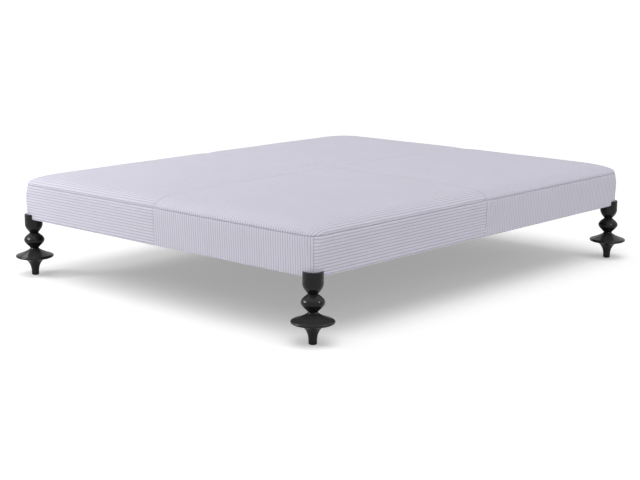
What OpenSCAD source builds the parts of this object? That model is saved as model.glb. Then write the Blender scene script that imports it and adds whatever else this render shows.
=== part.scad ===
// Backless divan: a low upholstered platform on four turned legs. Millimetres, +Z up,
// origin on the floor under the middle of the box, front face towards -Y.

/* [Box] */
// Length of the upholstered box, from side to side
box_length = 1880; // [1500:10:2200]
// Depth of the upholstered box, from front to back
box_depth = 1524; // [1200:10:1800]
// Height of the side bands, from the underside to the seam
band_height = 136; // [125:1:170]
// Radius of the box's corners in plan
corner_radius = 30; // [20:1:34]
// How far the bands draw in at the underside
side_tuck = 4; // [2:0.5:6]

/* [Crown] */
// Width of the rolled edge of the top
roll_width = 70; // [60:1:90]
// Height of the rolled edge above the seam
roll_height = 33.5; // [24:0.5:40]
// Height of the roll's fullest line above the seam
roll_belly = 5; // [4.5:0.5:8]
// Rise of the top from the roll to its middle
dome_height = 16; // [10:1:45]
// Distance from the edge at which the top levels out
dome_reach = 480; // [300:10:600]
// Growth of the plan corner radius per millimetre of roll
corner_growth_share = 1.6; // [0.8:0.1:1.8]

/* [Cover] */
// Thickness of the lined striped cloth
cloth_thickness = 2; // [1.5:0.1:3]
// Depth of the groove at the seam
seam_depth = 4; // [3:0.25:5]
// Width of the groove at the seam
seam_gap = 2.4; // [1.5:0.1:4]
// Height of the binding tape below the seam
tape_drop = 10; // [6:1:16]
// Thickness of the binding tape
tape_thickness = 1.5; // [1:0.1:2]
// Thickness of the dust cover under the box
dust_cover_thickness = 0.8; // [0.5:0.1:1.5]
// Bare margin of the bands round the dust cover
dust_cover_margin = 8; // [4:1:12]

/* [Padding] */
// Thickness of the padding on the sides of the frame
side_pad_thickness = 6; // [4:0.5:8]
// Width of the firm foam round the edge
edge_foam_width = 90; // [60:5:140]
// Thickness of the hessian over the webbing
hessian_thickness = 1; // [0.6:0.1:2]

/* [Frame] */
// Height of the outer rails
rail_height = 90; // [80:1:96]
// Thickness of the outer rails
rail_thickness = 30; // [26:1:36]
// Width of the square corner posts
post_width = 60; // [54:1:72]
// Thickness of the inner rails
inner_rail_thickness = 24; // [20:1:30]
// Drop of the inner rails below the top of the frame
inner_rail_drop = 25; // [15:1:35]
// Number of cross rails
cross_rail_count = 3; // [1:1:5]
// Thickness of the tenons
tenon_thickness = 12; // [8:1:14]
// Length of the tenons in the posts
tenon_length = 24; // [16:1:28]
// Length of the stub tenons in the outer rails
stub_length = 14; // [10:1:18]
// Shoulder above and below each tenon
tenon_shoulder = 12; // [8:1:18]
// Width of the corner braces across their grain
brace_width = 36; // [30:1:50]
// Height of the corner braces
brace_height = 50; // [36:1:60]

/* [Suspension] */
// Width of the jute webbing
webbing_width = 60; // [50:5:75]
// Thickness of the jute webbing
webbing_thickness = 2.5; // [2:0.1:3]
// Aimed distance from one strap to the next
webbing_pitch = 150; // [110:5:220]
// Length of strap that lies on a rail
webbing_landing = 24; // [16:1:24]

/* [Leg] */
// Distance of the leg's axis from each side of the box
leg_inset = 28; // [24:1:32]
// Height of the socket's rim above the underside
socket_height = 19.5; // [12:0.5:30]
// Radius of the cup that holds the box's corner
cup_radius = 34.5; // [33:0.5:40]
// Height of the cup's straight wall below the underside
cup_wall = 20.5; // [6:0.5:30]
// Height of the cup's swelling above the upper neck
cup_swell = 34; // [24:1:60]
// Radius of both necks
neck_radius = 16; // [13:0.5:20]
// Radius of the bulb
bulb_radius = 39.5; // [28:0.5:44]
// Height of the bulb from neck to neck
bulb_height = 59.5; // [45:0.5:75]
// Radius of the disc
disc_radius = 73; // [55:1:85]
// Height of the disc's sloping top
disc_shoulder = 24.5; // [18:0.5:45]
// Thickness of the disc behind its rounded edge
disc_rim = 15; // [10:0.5:20]
// Depth of the disc's rounded edge
disc_nose = 15; // [8:1:20]
// Height of the cove under the disc
disc_cove = 54; // [35:1:65]
// Radius of the foot
foot_radius = 14.3; // [12:0.1:18]
// Height of the straight part of the foot
foot_height = 12; // [6:0.5:30]

/* [Hardware] */
// Radius of the hanger bolts
bolt_radius = 4; // [3:0.5:5]
// Depth of a hanger bolt in its leg
bolt_depth = 44; // [30:1:55]
// Outer radius of the threaded inserts
insert_radius = 7; // [5.5:0.5:8]
// Length of the threaded inserts
insert_length = 25; // [15:1:30]
// Radius of the glides under the feet
glide_radius = 11; // [8:0.5:12]
// Thickness of the glides
glide_thickness = 2.5; // [2:0.5:5]
// Radius of the glides' nails
glide_nail_radius = 1.2; // [0.8:0.1:1.6]
// Length of the glides' nails
glide_nail_length = 14; // [10:1:20]
// Radius of the brace screws
screw_radius = 2; // [1.5:0.25:3]
// Radius of the screws' heads
screw_head_radius = 4; // [3.25:0.25:4.5]
// Height of the screws' heads
screw_head_height = 3; // [2:0.5:4]
// Wood under a screw's head
screw_seat = 8; // [6:1:9]
// Depth of a screw in its rail
screw_bite = 20; // [14:1:24]
// Radius of the tacks' shanks
tack_radius = 0.9; // [0.6:0.1:1.2]
// Radius of the tacks' heads
tack_head_radius = 3.4; // [2.4:0.2:4]
// Height of the tacks' heads
tack_head_height = 0.8; // [0.5:0.1:1.2]
// Depth of a tack in the wood
tack_bite = 11; // [8:1:11]
// Aimed distance between the dust cover's tacks
dust_tack_pitch = 170; // [120:10:260]

/* [Hidden] */
lay_gap = 0.3;      // between soft layers, and between them and wood
tape_gap = 0.6;     // between the binding tape and the cloth's turned edges
slit = 0.2;         // between cloth pieces that are sewn edge to edge
glue_gap = 0.15;    // round a tenon in its mortise
run_gap = 0.05;     // round a shank in its hole
socket_gap = 0.4;   // between the box's corner and the leg's socket
overrun = 1;        // cuts run this far past a face

arc_steps = 6;      // facets of a cloth corner, in a quarter turn
side_steps = 4;     // facets along half of a short side
end_steps = 5;      // facets along half of a long side
turn_steps = 96;    // facets of turned work, where it is drawn as a mesh
curve_steps = 10;   // points on each curve of the leg's outline
bulb_fullness = 1.05;
bulb_lean = 1.12;   // above 1, the bulb is widest above its middle
shoulder_hollow = 1.5;
nose_turn = 60;     // where the disc's rounded edge gives way to its sloping top, in degrees

half_x = box_length / 2;
half_y = box_depth / 2;
underside_z = glide_thickness + foot_height + disc_cove + disc_rim + disc_shoulder
    + bulb_height + cup_swell + cup_wall;
seam_z = underside_z + band_height;
hem_z = underside_z + dust_cover_thickness;
frame_z = hem_z + cloth_thickness;
frame_top_z = frame_z + rail_height;
hessian_z = frame_top_z + 2 * webbing_thickness;
foam_z = hessian_z + hessian_thickness;
roll_z = seam_z + roll_belly;
roll_rise = roll_height - roll_belly;
rail_inset = side_tuck + cloth_thickness + side_pad_thickness + 2 * lay_gap;
rail_inner_x = half_x - rail_inset - rail_thickness;
rail_inner_y = half_y - rail_inset - rail_thickness;
post_inner_x = half_x - rail_inset - post_width;
post_inner_y = half_y - rail_inset - post_width;
inner_rail_height = rail_height - inner_rail_drop;
band_straight = socket_height + 3 * socket_gap;

QUADRANTS = [[-1, -1], [1, -1], [1, 1], [-1, 1]];

// Plan shapes

// The box's outline, drawn in by inset all round.
module plan(inset) {
    r = corner_radius - inset;
    x = half_x - inset;
    y = half_y - inset;
    square([2 * x, 2 * (y - r)], center = true);
    square([2 * (x - r), 2 * y], center = true);
    for (q = QUADRANTS) translate([q.x * (x - r), q.y * (y - r)]) circle(r, $fn = 64);
}

module slab(inset, low, thickness) {
    translate([0, 0, low]) linear_extrude(thickness) plan(inset);
}

// A block between two opposite corners.
module block(low, high) {
    translate(low) cube(high - low);
}

// A child made for the back right corner, put in corner q.
module in_corner(q) {
    mirror([q.x < 0 ? 1 : 0, 0, 0]) mirror([0, q.y < 0 ? 1 : 0, 0]) children();
}

// Turned leg

ease_shares = [for (i = [1:curve_steps]) i / curve_steps];
rim_angles = [for (a = [-75:15:nose_turn]) a];
// The bulb's swelling, from 0 at its necks to 1, at a share of its height.
function bulb_swell(u) = pow(abs(sin(180 * pow(u, bulb_lean))), bulb_fullness);

// Radius and height pairs from the foot up to the socket's rim.
function leg_outline() =
    let (
        foot_z = glide_thickness,
        cove_z = foot_z + foot_height,
        rim_z = cove_z + disc_cove,
        middle_z = rim_z + disc_rim / 2,
        slope_radius = disc_radius - disc_nose * (1 - cos(nose_turn)),
        slope_z = middle_z + disc_rim / 2 * sin(nose_turn),
        bulb_z = rim_z + disc_rim + disc_shoulder,
        neck_z = bulb_z + bulb_height,
        wall_z = neck_z + cup_swell
    )
    concat(
        [[0, foot_z], [foot_radius, foot_z], [foot_radius, cove_z]],
        [for (u = ease_shares)
            [foot_radius + (disc_radius - disc_nose - foot_radius) * (1 - sqrt(1 - u * u)),
             cove_z + disc_cove * u]],
        [for (a = rim_angles)
            [disc_radius - disc_nose * (1 - cos(a)), middle_z + disc_rim / 2 * sin(a)]],
        [for (u = ease_shares)
            [neck_radius + (slope_radius - neck_radius) * pow(1 - u, shoulder_hollow),
             slope_z + (bulb_z - slope_z) * u]],
        [for (u = ease_shares)
            [neck_radius + (bulb_radius - neck_radius) * bulb_swell(u), bulb_z + bulb_height * u]],
        [for (u = ease_shares)
            [neck_radius + (cup_radius - neck_radius) * sin(90 * u), neck_z + cup_swell * u]],
        [[cup_radius, wall_z + cup_wall + socket_height], [0, wall_z + cup_wall + socket_height]]
    );

module leg_axis() {
    translate([half_x - leg_inset, half_y - leg_inset, 0]) children();
}

module leg(q) {
    color([0.05, 0.05, 0.055]) in_corner(q) difference() {
        leg_axis() rotate_extrude($fn = turn_steps) polygon(leg_outline());
        slab(side_tuck - socket_gap, underside_z, socket_height + overrun);
        leg_axis() translate([0, 0, underside_z - bolt_depth])
            cylinder(bolt_depth + overrun, r = bolt_radius + run_gap, $fn = 48);
        leg_axis() translate([0, 0, glide_thickness - overrun])
            cylinder(glide_nail_length + overrun, r = glide_nail_radius + run_gap, $fn = 32);
    }
}

module glides() {
    color([0.1, 0.1, 0.1]) for (q = QUADRANTS) in_corner(q) leg_axis() {
        cylinder(glide_thickness, r = glide_radius, $fn = 64);
        cylinder(glide_thickness + glide_nail_length - lay_gap, r = glide_nail_radius, $fn = 32);
    }
}

module hanger_bolts() {
    bottom_z = underside_z - bolt_depth + lay_gap;
    color([0.7, 0.7, 0.72]) for (q = QUADRANTS) in_corner(q) leg_axis()
        translate([0, 0, bottom_z]) cylinder(frame_z + insert_length - bottom_z, r = bolt_radius, $fn = 48);
}

module threaded_inserts() {
    color([0.75, 0.65, 0.35]) for (q = QUADRANTS) in_corner(q) leg_axis()
        translate([0, 0, frame_z]) difference() {
            cylinder(insert_length, r = insert_radius, $fn = 48);
            translate([0, 0, -overrun])
                cylinder(insert_length + 2 * overrun, r = bolt_radius + run_gap, $fn = 48);
        }
}

// Frame

module post(q) {
    tenon_low = frame_z + tenon_shoulder - glue_gap;
    tenon_high = frame_top_z - tenon_shoulder + glue_gap;
    cheek = tenon_thickness / 2 + glue_gap;
    mid_x = half_x - rail_inset - rail_thickness / 2;
    mid_y = half_y - rail_inset - rail_thickness / 2;
    color([0.8, 0.66, 0.45]) in_corner(q) difference() {
        intersection() {
            block([post_inner_x, post_inner_y, frame_z], [half_x, half_y, frame_top_z]);
            slab(rail_inset, frame_z, rail_height);
        }
        block([post_inner_x - overrun, mid_y - cheek, tenon_low],
              [post_inner_x + tenon_length + glue_gap, mid_y + cheek, tenon_high]);
        block([mid_x - cheek, post_inner_y - overrun, tenon_low],
              [mid_x + cheek, post_inner_y + tenon_length + glue_gap, tenon_high]);
        leg_axis() translate([0, 0, frame_z - overrun])
            cylinder(insert_length + overrun, r = insert_radius + run_gap, $fn = 48);
    }
}

// An outer rail along X on the back, with its tenons, mortises and pilot holes.
module long_rail() {
    mid_y = half_y - rail_inset - rail_thickness / 2;
    difference() {
        union() {
            block([-post_inner_x, rail_inner_y, frame_z], [post_inner_x, half_y - rail_inset, frame_top_z]);
            block([-post_inner_x - tenon_length, mid_y - tenon_thickness / 2, frame_z + tenon_shoulder],
                  [post_inner_x + tenon_length, mid_y + tenon_thickness / 2, frame_top_z - tenon_shoulder]);
        }
        for (x = cross_rail_places()) translate([x, rail_inner_y, 0]) stub_mortise();
        for (x = strap_places(rail_inner_x)) translate([x, 0, 0]) tack_pair_holes(rail_inner_y);
        for (x = dust_tack_places(rail_inner_x))
            translate([x, rail_inner_y + tack_margin, 0]) dust_tack_hole();
        for (q = [[-1, 1], [1, 1]]) in_corner(q) brace_pilots(true);
    }
}

// An outer rail along Y on the right, with its tenons, mortise and pilot holes.
module end_rail() {
    mid_x = half_x - rail_inset - rail_thickness / 2;
    difference() {
        union() {
            block([rail_inner_x, -post_inner_y, frame_z], [half_x - rail_inset, post_inner_y, frame_top_z]);
            block([mid_x - tenon_thickness / 2, -post_inner_y - tenon_length, frame_z + tenon_shoulder],
                  [mid_x + tenon_thickness / 2, post_inner_y + tenon_length, frame_top_z - tenon_shoulder]);
        }
        translate([rail_inner_x, 0, 0]) rotate([0, 0, -90]) stub_mortise();
        for (y = strap_places(rail_inner_y))
            translate([0, y, 0]) rotate([0, 0, -90]) tack_pair_holes(rail_inner_x);
        for (y = dust_tack_places(rail_inner_y))
            translate([rail_inner_x + tack_margin, y, 0]) dust_tack_hole();
        for (q = [[1, -1], [1, 1]]) in_corner(q) brace_pilots(false);
    }
}

// The mortise for a stub tenon that enters along +Y at the origin.
module stub_mortise() {
    cheek = tenon_thickness / 2 + glue_gap;
    block([-cheek, -overrun, frame_z + tenon_shoulder - glue_gap],
          [cheek, stub_length + glue_gap, frame_z + inner_rail_height - tenon_shoulder + glue_gap]);
}

function cross_rail_places() =
    [for (i = [1:cross_rail_count]) rail_inner_x * (2 * i / (cross_rail_count + 1) - 1)];
halving = inner_rail_height / 2;

module cross_rails() {
    half = inner_rail_thickness / 2;
    top = frame_z + inner_rail_height;
    color([0.82, 0.69, 0.48]) for (x = cross_rail_places()) translate([x, 0, 0]) difference() {
        union() {
            block([-half, -rail_inner_y, frame_z], [half, rail_inner_y, top]);
            block([-tenon_thickness / 2, -rail_inner_y - stub_length, frame_z + tenon_shoulder],
                  [tenon_thickness / 2, rail_inner_y + stub_length, top - tenon_shoulder]);
        }
        block([-half - overrun, -half - glue_gap, frame_z - overrun],
              [half + overrun, half + glue_gap, frame_z + halving]);
    }
}

module centre_spine() {
    half = inner_rail_thickness / 2;
    top = frame_z + inner_rail_height;
    color([0.82, 0.69, 0.48]) difference() {
        union() {
            block([-rail_inner_x, -half, frame_z], [rail_inner_x, half, top]);
            block([-rail_inner_x - stub_length, -tenon_thickness / 2, frame_z + tenon_shoulder],
                  [rail_inner_x + stub_length, tenon_thickness / 2, top - tenon_shoulder]);
        }
        for (x = cross_rail_places())
            block([x - half - glue_gap, -half - overrun, frame_z + halving],
                  [x + half + glue_gap, half + overrun, top + overrun]);
    }
}

// Corner braces: boards across each corner, screwed to both rails.
brace_near = 2 * (post_width - rail_thickness) + 2 * screw_head_radius;
brace_far = brace_near + brace_width;
brace_mid = brace_near + brace_width / 2;
brace_z = frame_z + tenon_shoulder;
brace_screw_shares = [0.28, 0.72];
brace_screw_levels = [for (share = brace_screw_shares) brace_z + brace_height * share];

// Puts children, made with +Z out of the rail, at each screw of the back right brace on one rail.
module at_brace_screws(on_long_rail) {
    for (z = brace_screw_levels)
        if (on_long_rail)
            translate([rail_inner_x - brace_mid, rail_inner_y, z]) rotate([90, 0, 0]) children();
        else
            translate([rail_inner_x, rail_inner_y - brace_mid, z]) rotate([0, -90, 0]) children();
}

module brace_pilots(on_long_rail) {
    at_brace_screws(on_long_rail) translate([0, 0, -screw_bite - overrun])
        cylinder(screw_bite + 2 * overrun, r = screw_radius + run_gap, $fn = 32);
}

module brace(q) {
    color([0.78, 0.64, 0.44]) in_corner(q) difference() {
        translate([0, 0, brace_z]) linear_extrude(brace_height) polygon([
            [rail_inner_x, rail_inner_y - brace_near], [rail_inner_x, rail_inner_y - brace_far],
            [rail_inner_x - brace_far, rail_inner_y], [rail_inner_x - brace_near, rail_inner_y]]);
        for (on_long_rail = [true, false]) at_brace_screws(on_long_rail) {
            translate([0, 0, -overrun])
                cylinder(brace_width, r = screw_radius + run_gap, $fn = 32);
            translate([0, 0, screw_seat])
                cylinder(brace_width, r = screw_head_radius + lay_gap, $fn = 32);
        }
    }
}

module brace_screws() {
    color([0.72, 0.72, 0.74]) for (q = QUADRANTS) in_corner(q)
        for (on_long_rail = [true, false]) at_brace_screws(on_long_rail) {
            translate([0, 0, -screw_bite]) cylinder(screw_bite + screw_seat, r = screw_radius, $fn = 32);
            translate([0, 0, screw_seat]) cylinder(screw_head_height, r = screw_head_radius, $fn = 32);
        }
}

// Webbing: straps woven over and under each other and tacked to the rails' tops.
function strap_count(span) = max(2, floor(2 * span / webbing_pitch));
function strap_places(span) =
    let (n = strap_count(span)) [for (i = [0:n - 1]) span * ((2 * i + 1) / n - 1)];
// Side view of strap number i, which spans the frame and crosses straps at the given places.
function strap_levels(i, places, span) = concat(
    [[-span - webbing_landing, 0], [-span, 0]],
    [for (j = [0:len(places) - 1]) for (side = [-1, 1])
        [places[j] + side * (webbing_width / 2 + overrun), (i + j) % 2 * webbing_thickness]],
    [[span, 0], [span + webbing_landing, 0]]
);
module strap(levels) {
    points = concat(levels, [for (k = [len(levels) - 1:-1:0]) levels[k] + [0, webbing_thickness]]);
    rotate([90, 0, 0]) linear_extrude(webbing_width, center = true) polygon(points);
}

tack_spread = webbing_width / 4;
// The two holes of one strap's end, on the rail that starts at y = inner.
module tack_pair_holes(inner) {
    bottom_z = frame_top_z - tack_bite - overrun;
    for (s = [-1, 1]) translate([s * tack_spread, inner + webbing_landing / 2, bottom_z])
        cylinder(tack_bite + webbing_thickness + 2 * overrun, r = tack_radius + run_gap, $fn = 24);
}

module webbing_straps(span, cross_span, parity) {
    rows = strap_places(cross_span);
    columns = strap_places(span);
    for (i = [0:len(rows) - 1]) translate([0, rows[i], 0]) difference() {
        translate([0, 0, frame_top_z]) strap(strap_levels(i + parity, columns, span));
        for (s = [-1, 1]) rotate([0, 0, -90 * s]) tack_pair_holes(span);
    }
}

module webbing_long() {
    color([0.76, 0.62, 0.4]) webbing_straps(rail_inner_x, rail_inner_y, 0);
}

// The cross straps take the other level at each crossing.
module webbing_cross() {
    color([0.7, 0.56, 0.36]) mirror([1, -1, 0]) webbing_straps(rail_inner_y, rail_inner_x, 1);
}

module tack(length) {
    translate([0, 0, -length]) cylinder(length, r = tack_radius, $fn = 24);
    cylinder(tack_head_height, r = tack_head_radius, $fn = 32);
}

module webbing_tacks() {
    level = frame_top_z + webbing_thickness;
    color([0.3, 0.32, 0.38]) for (s = [-1, 1], t = [-1, 1]) {
        for (x = strap_places(rail_inner_x))
            translate([x + t * tack_spread, s * (rail_inner_y + webbing_landing / 2), level])
                tack(tack_bite + webbing_thickness);
        for (y = strap_places(rail_inner_y))
            translate([s * (rail_inner_x + webbing_landing / 2), y + t * tack_spread, level])
                tack(tack_bite + webbing_thickness);
    }
}

module hessian() {
    color([0.72, 0.6, 0.42]) slab(rail_inset + dust_cover_margin / 2, hessian_z, hessian_thickness);
}

// Foam
module edge_foam_long() {
    intersection() {
        slab(rail_inset, foam_z, roll_z - foam_z);
        block([-half_x, half_y - rail_inset - edge_foam_width, foam_z], [half_x, half_y, roll_z]);
    }
}

module edge_foam_end() {
    edge_y = half_y - rail_inset - edge_foam_width;
    block([half_x - rail_inset - edge_foam_width, -edge_y, foam_z], [half_x - rail_inset, edge_y, roll_z]);
}

module foam_slab() {
    x = half_x - rail_inset - edge_foam_width;
    y = half_y - rail_inset - edge_foam_width;
    color([0.93, 0.87, 0.66]) block([-x, -y, foam_z], [x, y, roll_z]);
}

// Crowned layers: rings climb the rolled edge and then shrink to the middle.

// The roll's inset at angle a, and the further inset and the height of a layer at depth t under it.
function roll_out(a) = roll_width * (1 - cos(a));
function roll_in(a, t) = t * cos(a);
function roll_level(a, t) = roll_z + (roll_rise - t) * sin(a);
function dome_share(d) = d >= dome_reach ? 1 : 1 - pow(1 - max(d, 0) / dome_reach, 2);
function dome(p) = dome_height * dome_share(half_x - abs(p.x)) * dome_share(half_y - abs(p.y));

// A quarter of a rounded outline, from the middle of its right side to the middle of its back.
function quarter(x, y, r) = concat(
    [for (i = [0:side_steps - 1]) [x, (y - r) * i / side_steps]],
    [for (i = [0:arc_steps]) [x - r + r * cos(90 * i / arc_steps), y - r + r * sin(90 * i / arc_steps)]],
    [for (i = [1:end_steps]) [(x - r) * (1 - i / end_steps), y]]
);
function lift(points, z) = [for (p = points) [p.x, p.y, z + dome(p)]];
function roll_ring(a, t) = lift(
    quarter(half_x - roll_out(a) - roll_in(a, t), half_y - roll_out(a) - roll_in(a, t),
            corner_radius + corner_growth_share * roll_out(a) - roll_in(a, t)),
    roll_level(a, t));
// The ring at the top of the roll, shrunk to a share of its size.
function dome_ring(share, t) = lift(
    [for (p = roll_ring(90, t)) share * [p.x, p.y]], roll_level(90, t));
function lip_ring(z) = [
    for (p = quarter(half_x - seam_depth, half_y - seam_depth, corner_radius - seam_depth)) [p.x, p.y, z]];
function middle(t) = [0, 0, roll_level(90, t) + dome([0, 0])];

dome_shares = [0.88, 0.7, 0.45, 0.2];
roll_angles = [0, 20, 42, 66, 90];
lip_angle = -5;
// Rings of a layer at depth t, from the roll angle numbered first.
function layer_rings(first, t) = concat(
    [for (i = [first:len(roll_angles) - 1]) roll_ring(roll_angles[i], t)],
    [for (share = dome_shares) dome_ring(share, t)]);

// Faces of a net of rings, each of n points, that closes on the tip point. Every second quarter
// of a looped net is cut along the other diagonals, as if it were mirrored.
function net_faces(rings, n, first, tip, inward, looped) =
    let (last = looped ? n - 1 : n - 2)
    [for (k = [0:rings - 1], j = [0:last])
        let (
            a = first + k * n + j,
            b = first + k * n + (j + 1) % n,
            c = b + n,
            d = a + n,
            mirrored = looped && floor(4 * j / n) % 2 == 1,
            upper = k == rings - 1 ? [[a, tip, b]]
                : mirrored ? [[a, d, b], [d, c, b]] : [[a, d, c], [a, c, b]]
        )
        for (f = upper) inward ? [f[2], f[1], f[0]] : f];

// The wall between the first rings of two nets.
function rim_faces(n, first, second, looped) =
    [for (j = [0:looped ? n - 1 : n - 2])
        let (a = first + j, b = first + (j + 1) % n, c = second + (j + 1) % n, d = second + j)
        for (f = [[a, b, c], [a, c, d]]) f];

// A cut side of a shell, down one column of both nets.
function side_faces(rings, n, column, first, second, tip, second_tip, back) =
    [for (k = [0:rings - 1])
        let (
            a = first + k * n + column,
            b = k < rings - 1 ? a + n : tip,
            d = second + k * n + column,
            c = k < rings - 1 ? d + n : second_tip
        )
        for (f = [[a, c, b], [a, d, c]]) back ? [f[2], f[1], f[0]] : f];

function flat(lists) = [for (l = lists) for (item = l) item];

// A quarter of a shell between two nets, cut along the box's two middle lines.
module quarter_shell(upper, lower, upper_tip, lower_tip) {
    n = len(upper[0]);
    rings = len(upper);
    tip = rings * n;
    second = tip + 1;
    second_tip = second + rings * n;
    points = concat(flat(upper), [upper_tip], flat(lower), [lower_tip]);
    faces = concat(
        net_faces(rings, n, 0, tip, false, false),
        net_faces(rings, n, second, second_tip, true, false),
        rim_faces(n, 0, second, false),
        side_faces(rings, n, 0, 0, second, tip, second_tip, false),
        side_faces(rings, n, n - 1, 0, second, tip, second_tip, true));
    translate([slit / 2, slit / 2, 0]) polyhedron(points, faces);
}

// A whole ring from its quarter.
function whole(ring) =
    let (n = len(ring))
    concat(
        ring,
        [for (i = [n - 2:-1:0]) [-ring[i].x, ring[i].y, ring[i].z]],
        [for (i = [1:n - 1]) [-ring[i].x, -ring[i].y, ring[i].z]],
        [for (i = [n - 2:-1:1]) [ring[i].x, -ring[i].y, ring[i].z]]);

// A whole layer, with its upper net and its lower net.
module layer(upper, lower, upper_tip, lower_tip) {
    upper_rings = [for (ring = upper) whole(ring)];
    lower_rings = [for (ring = lower) whole(ring)];
    n = len(upper_rings[0]);
    tip = len(upper) * n;
    second = tip + 1;
    second_tip = second + len(lower) * n;
    polyhedron(
        concat(flat(upper_rings), [upper_tip], flat(lower_rings), [lower_tip]),
        concat(
            net_faces(len(upper), n, 0, tip, false, true),
            net_faces(len(lower), n, second, second_tip, true, true),
            rim_faces(n, 0, second, true)));
}

module crown_pad() {
    foot = [for (p = roll_ring(roll_angles[0], rail_inset)) [p.x, p.y, roll_z]];
    color([0.95, 0.91, 0.76])
        layer(layer_rings(1, rail_inset), [foot], middle(rail_inset), [0, 0, roll_z]);
}

module fibre_wrap() {
    outer_depth = cloth_thickness + lay_gap;
    inner_depth = rail_inset - lay_gap;
    color([0.95, 0.95, 0.94]) layer(
        layer_rings(0, outer_depth), layer_rings(0, inner_depth),
        middle(outer_depth), middle(inner_depth));
}

module top_panel(q) {
    low = seam_z + seam_gap / 2;
    upper = concat([lip_ring(low), roll_ring(lip_angle, 0)], layer_rings(0, 0));
    lower = concat(
        [lip_ring(low + cloth_thickness), roll_ring(lip_angle, cloth_thickness)],
        layer_rings(0, cloth_thickness));
    color(q.x * q.y > 0 ? [0.79, 0.77, 0.84] : [0.82, 0.8, 0.87])
        in_corner(q) quarter_shell(upper, lower, middle(0), middle(cloth_thickness));
}

// Bands and side pads: an outline of inset and height pairs, swept round part of the box.

// Stations on the box's outline: a point and the direction outwards.
function corner_station(sx, sy, angle) =
    [[sx * (half_x - corner_radius), sy * (half_y - corner_radius)], [sx * cos(angle), sy * sin(angle)]];
function station_point(station, pair) =
    let (p = station[0] + station[1] * (corner_radius - pair[0])) [p.x, p.y, pair[1]];

// A solid between an outer and an inner outline, which have as many points as each other.
module sweep(stations, outer, inner) {
    m = len(outer);
    n = 2 * m;
    end = (len(stations) - 1) * n;
    outline = concat(outer, [for (k = [m - 1:-1:0]) inner[k]]);
    points = [for (s = stations) for (pair = outline) station_point(s, pair)];
    walls = [for (i = [0:len(stations) - 2], j = [0:n - 1])
        let (a = i * n + j, b = i * n + (j + 1) % n)
        for (f = [[a, b, b + n], [a, b + n, a + n]]) f];
    first_cap = [for (j = [0:m - 2]) for (f = [[j, n - 1 - j, n - 2 - j], [j, n - 2 - j, j + 1]]) f];
    last_cap = [for (f = first_cap) [end + f[2], end + f[1], end + f[0]]];
    polyhedron(points, concat(walls, first_cap, last_cap));
}

corner_shares = [for (i = [0:arc_steps / 2]) i / arc_steps];
// From the middle of the back to the back right corner's seam.
back_half_stations = concat(
    [[[0, half_y - corner_radius], [0, 1]]],
    [for (share = corner_shares) corner_station(1, 1, 90 - 90 * share)]);
// From the back right corner's seam to the middle of the right side.
right_half_stations = concat(
    [for (i = [len(corner_shares) - 1:-1:0]) corner_station(1, 1, 90 * corner_shares[i])],
    [[[half_x - corner_radius, 0], [1, 0]]]);

// The band's outer face: straight where it stands in the leg's socket, then easing out to the seam.
band_ease_shares = [0, 0.25, 0.5, 0.75, 1];
turn_shares = [0.35, 0.75, 1];
band_top_z = seam_z - seam_gap / 2;
turn_height = 1.5 * seam_depth;
turn_z = band_top_z - turn_height;
hem_share = 0.68;
hem_inset = side_tuck + (corner_radius - side_tuck) * hem_share;
function band_face(depth) = concat(
    [[side_tuck + depth, hem_z + depth]],
    [for (u = band_ease_shares)
        [side_tuck * (1 + cos(180 * u)) / 2 + depth,
         underside_z + band_straight + (turn_z - underside_z - band_straight) * u]]);
// The band's hem, face and turned edge, at a depth in the cloth.
function band_outline(depth) = concat(
    [[hem_inset, hem_z + depth]],
    band_face(depth),
    [for (u = turn_shares)
        [seam_depth - (seam_depth - depth) * sqrt(1 - u * u), turn_z + (turn_height - depth) * u]]);

module band_body(stations) {
    sweep(stations, band_outline(0), band_outline(cloth_thickness));
}

// Half bands are parted from their neighbours by a slit at the face's middle and at the corner.
module band_back_half() {
    color([0.74, 0.72, 0.79]) translate([slit / 2, slit / 2, 0]) band_body(back_half_stations);
}
module band_right_half() {
    color([0.77, 0.75, 0.82]) translate([slit / 2, slit / 2, 0]) band_body(right_half_stations);
}

pad_top_z = seam_z - tape_drop - lay_gap;
module side_pad_body(stations) {
    under_cloth = cloth_thickness + lay_gap;
    outer = concat(
        [[side_tuck + under_cloth, frame_z + lay_gap]],
        [for (pair = band_face(under_cloth)) if (pair[1] > hem_z + under_cloth && pair[1] < pad_top_z) pair],
        [[under_cloth, pad_top_z]]);
    sweep(stations, outer, [for (pair = outer) [rail_inset - lay_gap, pair[1]]]);
}

// A side pad runs from corner to corner, parted from the next by a slit.
module side_pad_back() {
    stations = concat(
        [for (i = [len(corner_shares) - 1:-1:0]) corner_station(-1, 1, 90 - 90 * corner_shares[i])],
        [for (share = corner_shares) corner_station(1, 1, 90 - 90 * share)]);
    translate([0, slit / 2, 0]) side_pad_body(stations);
}

module side_pad_right() {
    stations = concat(
        [for (i = [len(corner_shares) - 1:-1:0]) corner_station(1, 1, 90 * corner_shares[i])],
        [for (share = corner_shares) corner_station(1, -1, 90 * share)]);
    translate([slit / 2, 0, 0]) side_pad_body(stations);
}

module seam_tape() {
    low = seam_z - tape_drop;
    high = seam_z + seam_gap / 2 + cloth_thickness;
    outer = seam_depth + tape_gap;
    color([0.45, 0.42, 0.5]) difference() {
        slab(outer, low, high - low);
        slab(outer + tape_thickness, low - overrun, high - low + 2 * overrun);
    }
}

// Dust cover and its tacks
tack_margin = rail_thickness / 3;
function dust_tack_places(span) =
    let (n = max(2, floor(2 * (span - brace_far) / dust_tack_pitch)))
    [for (i = [0:n]) (span - brace_far) * (2 * i / n - 1)];

module dust_tack_hole() {
    translate([0, 0, underside_z - overrun])
        cylinder(frame_z - underside_z + tack_bite + 2 * overrun, r = tack_radius + run_gap, $fn = 24);
}

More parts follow.
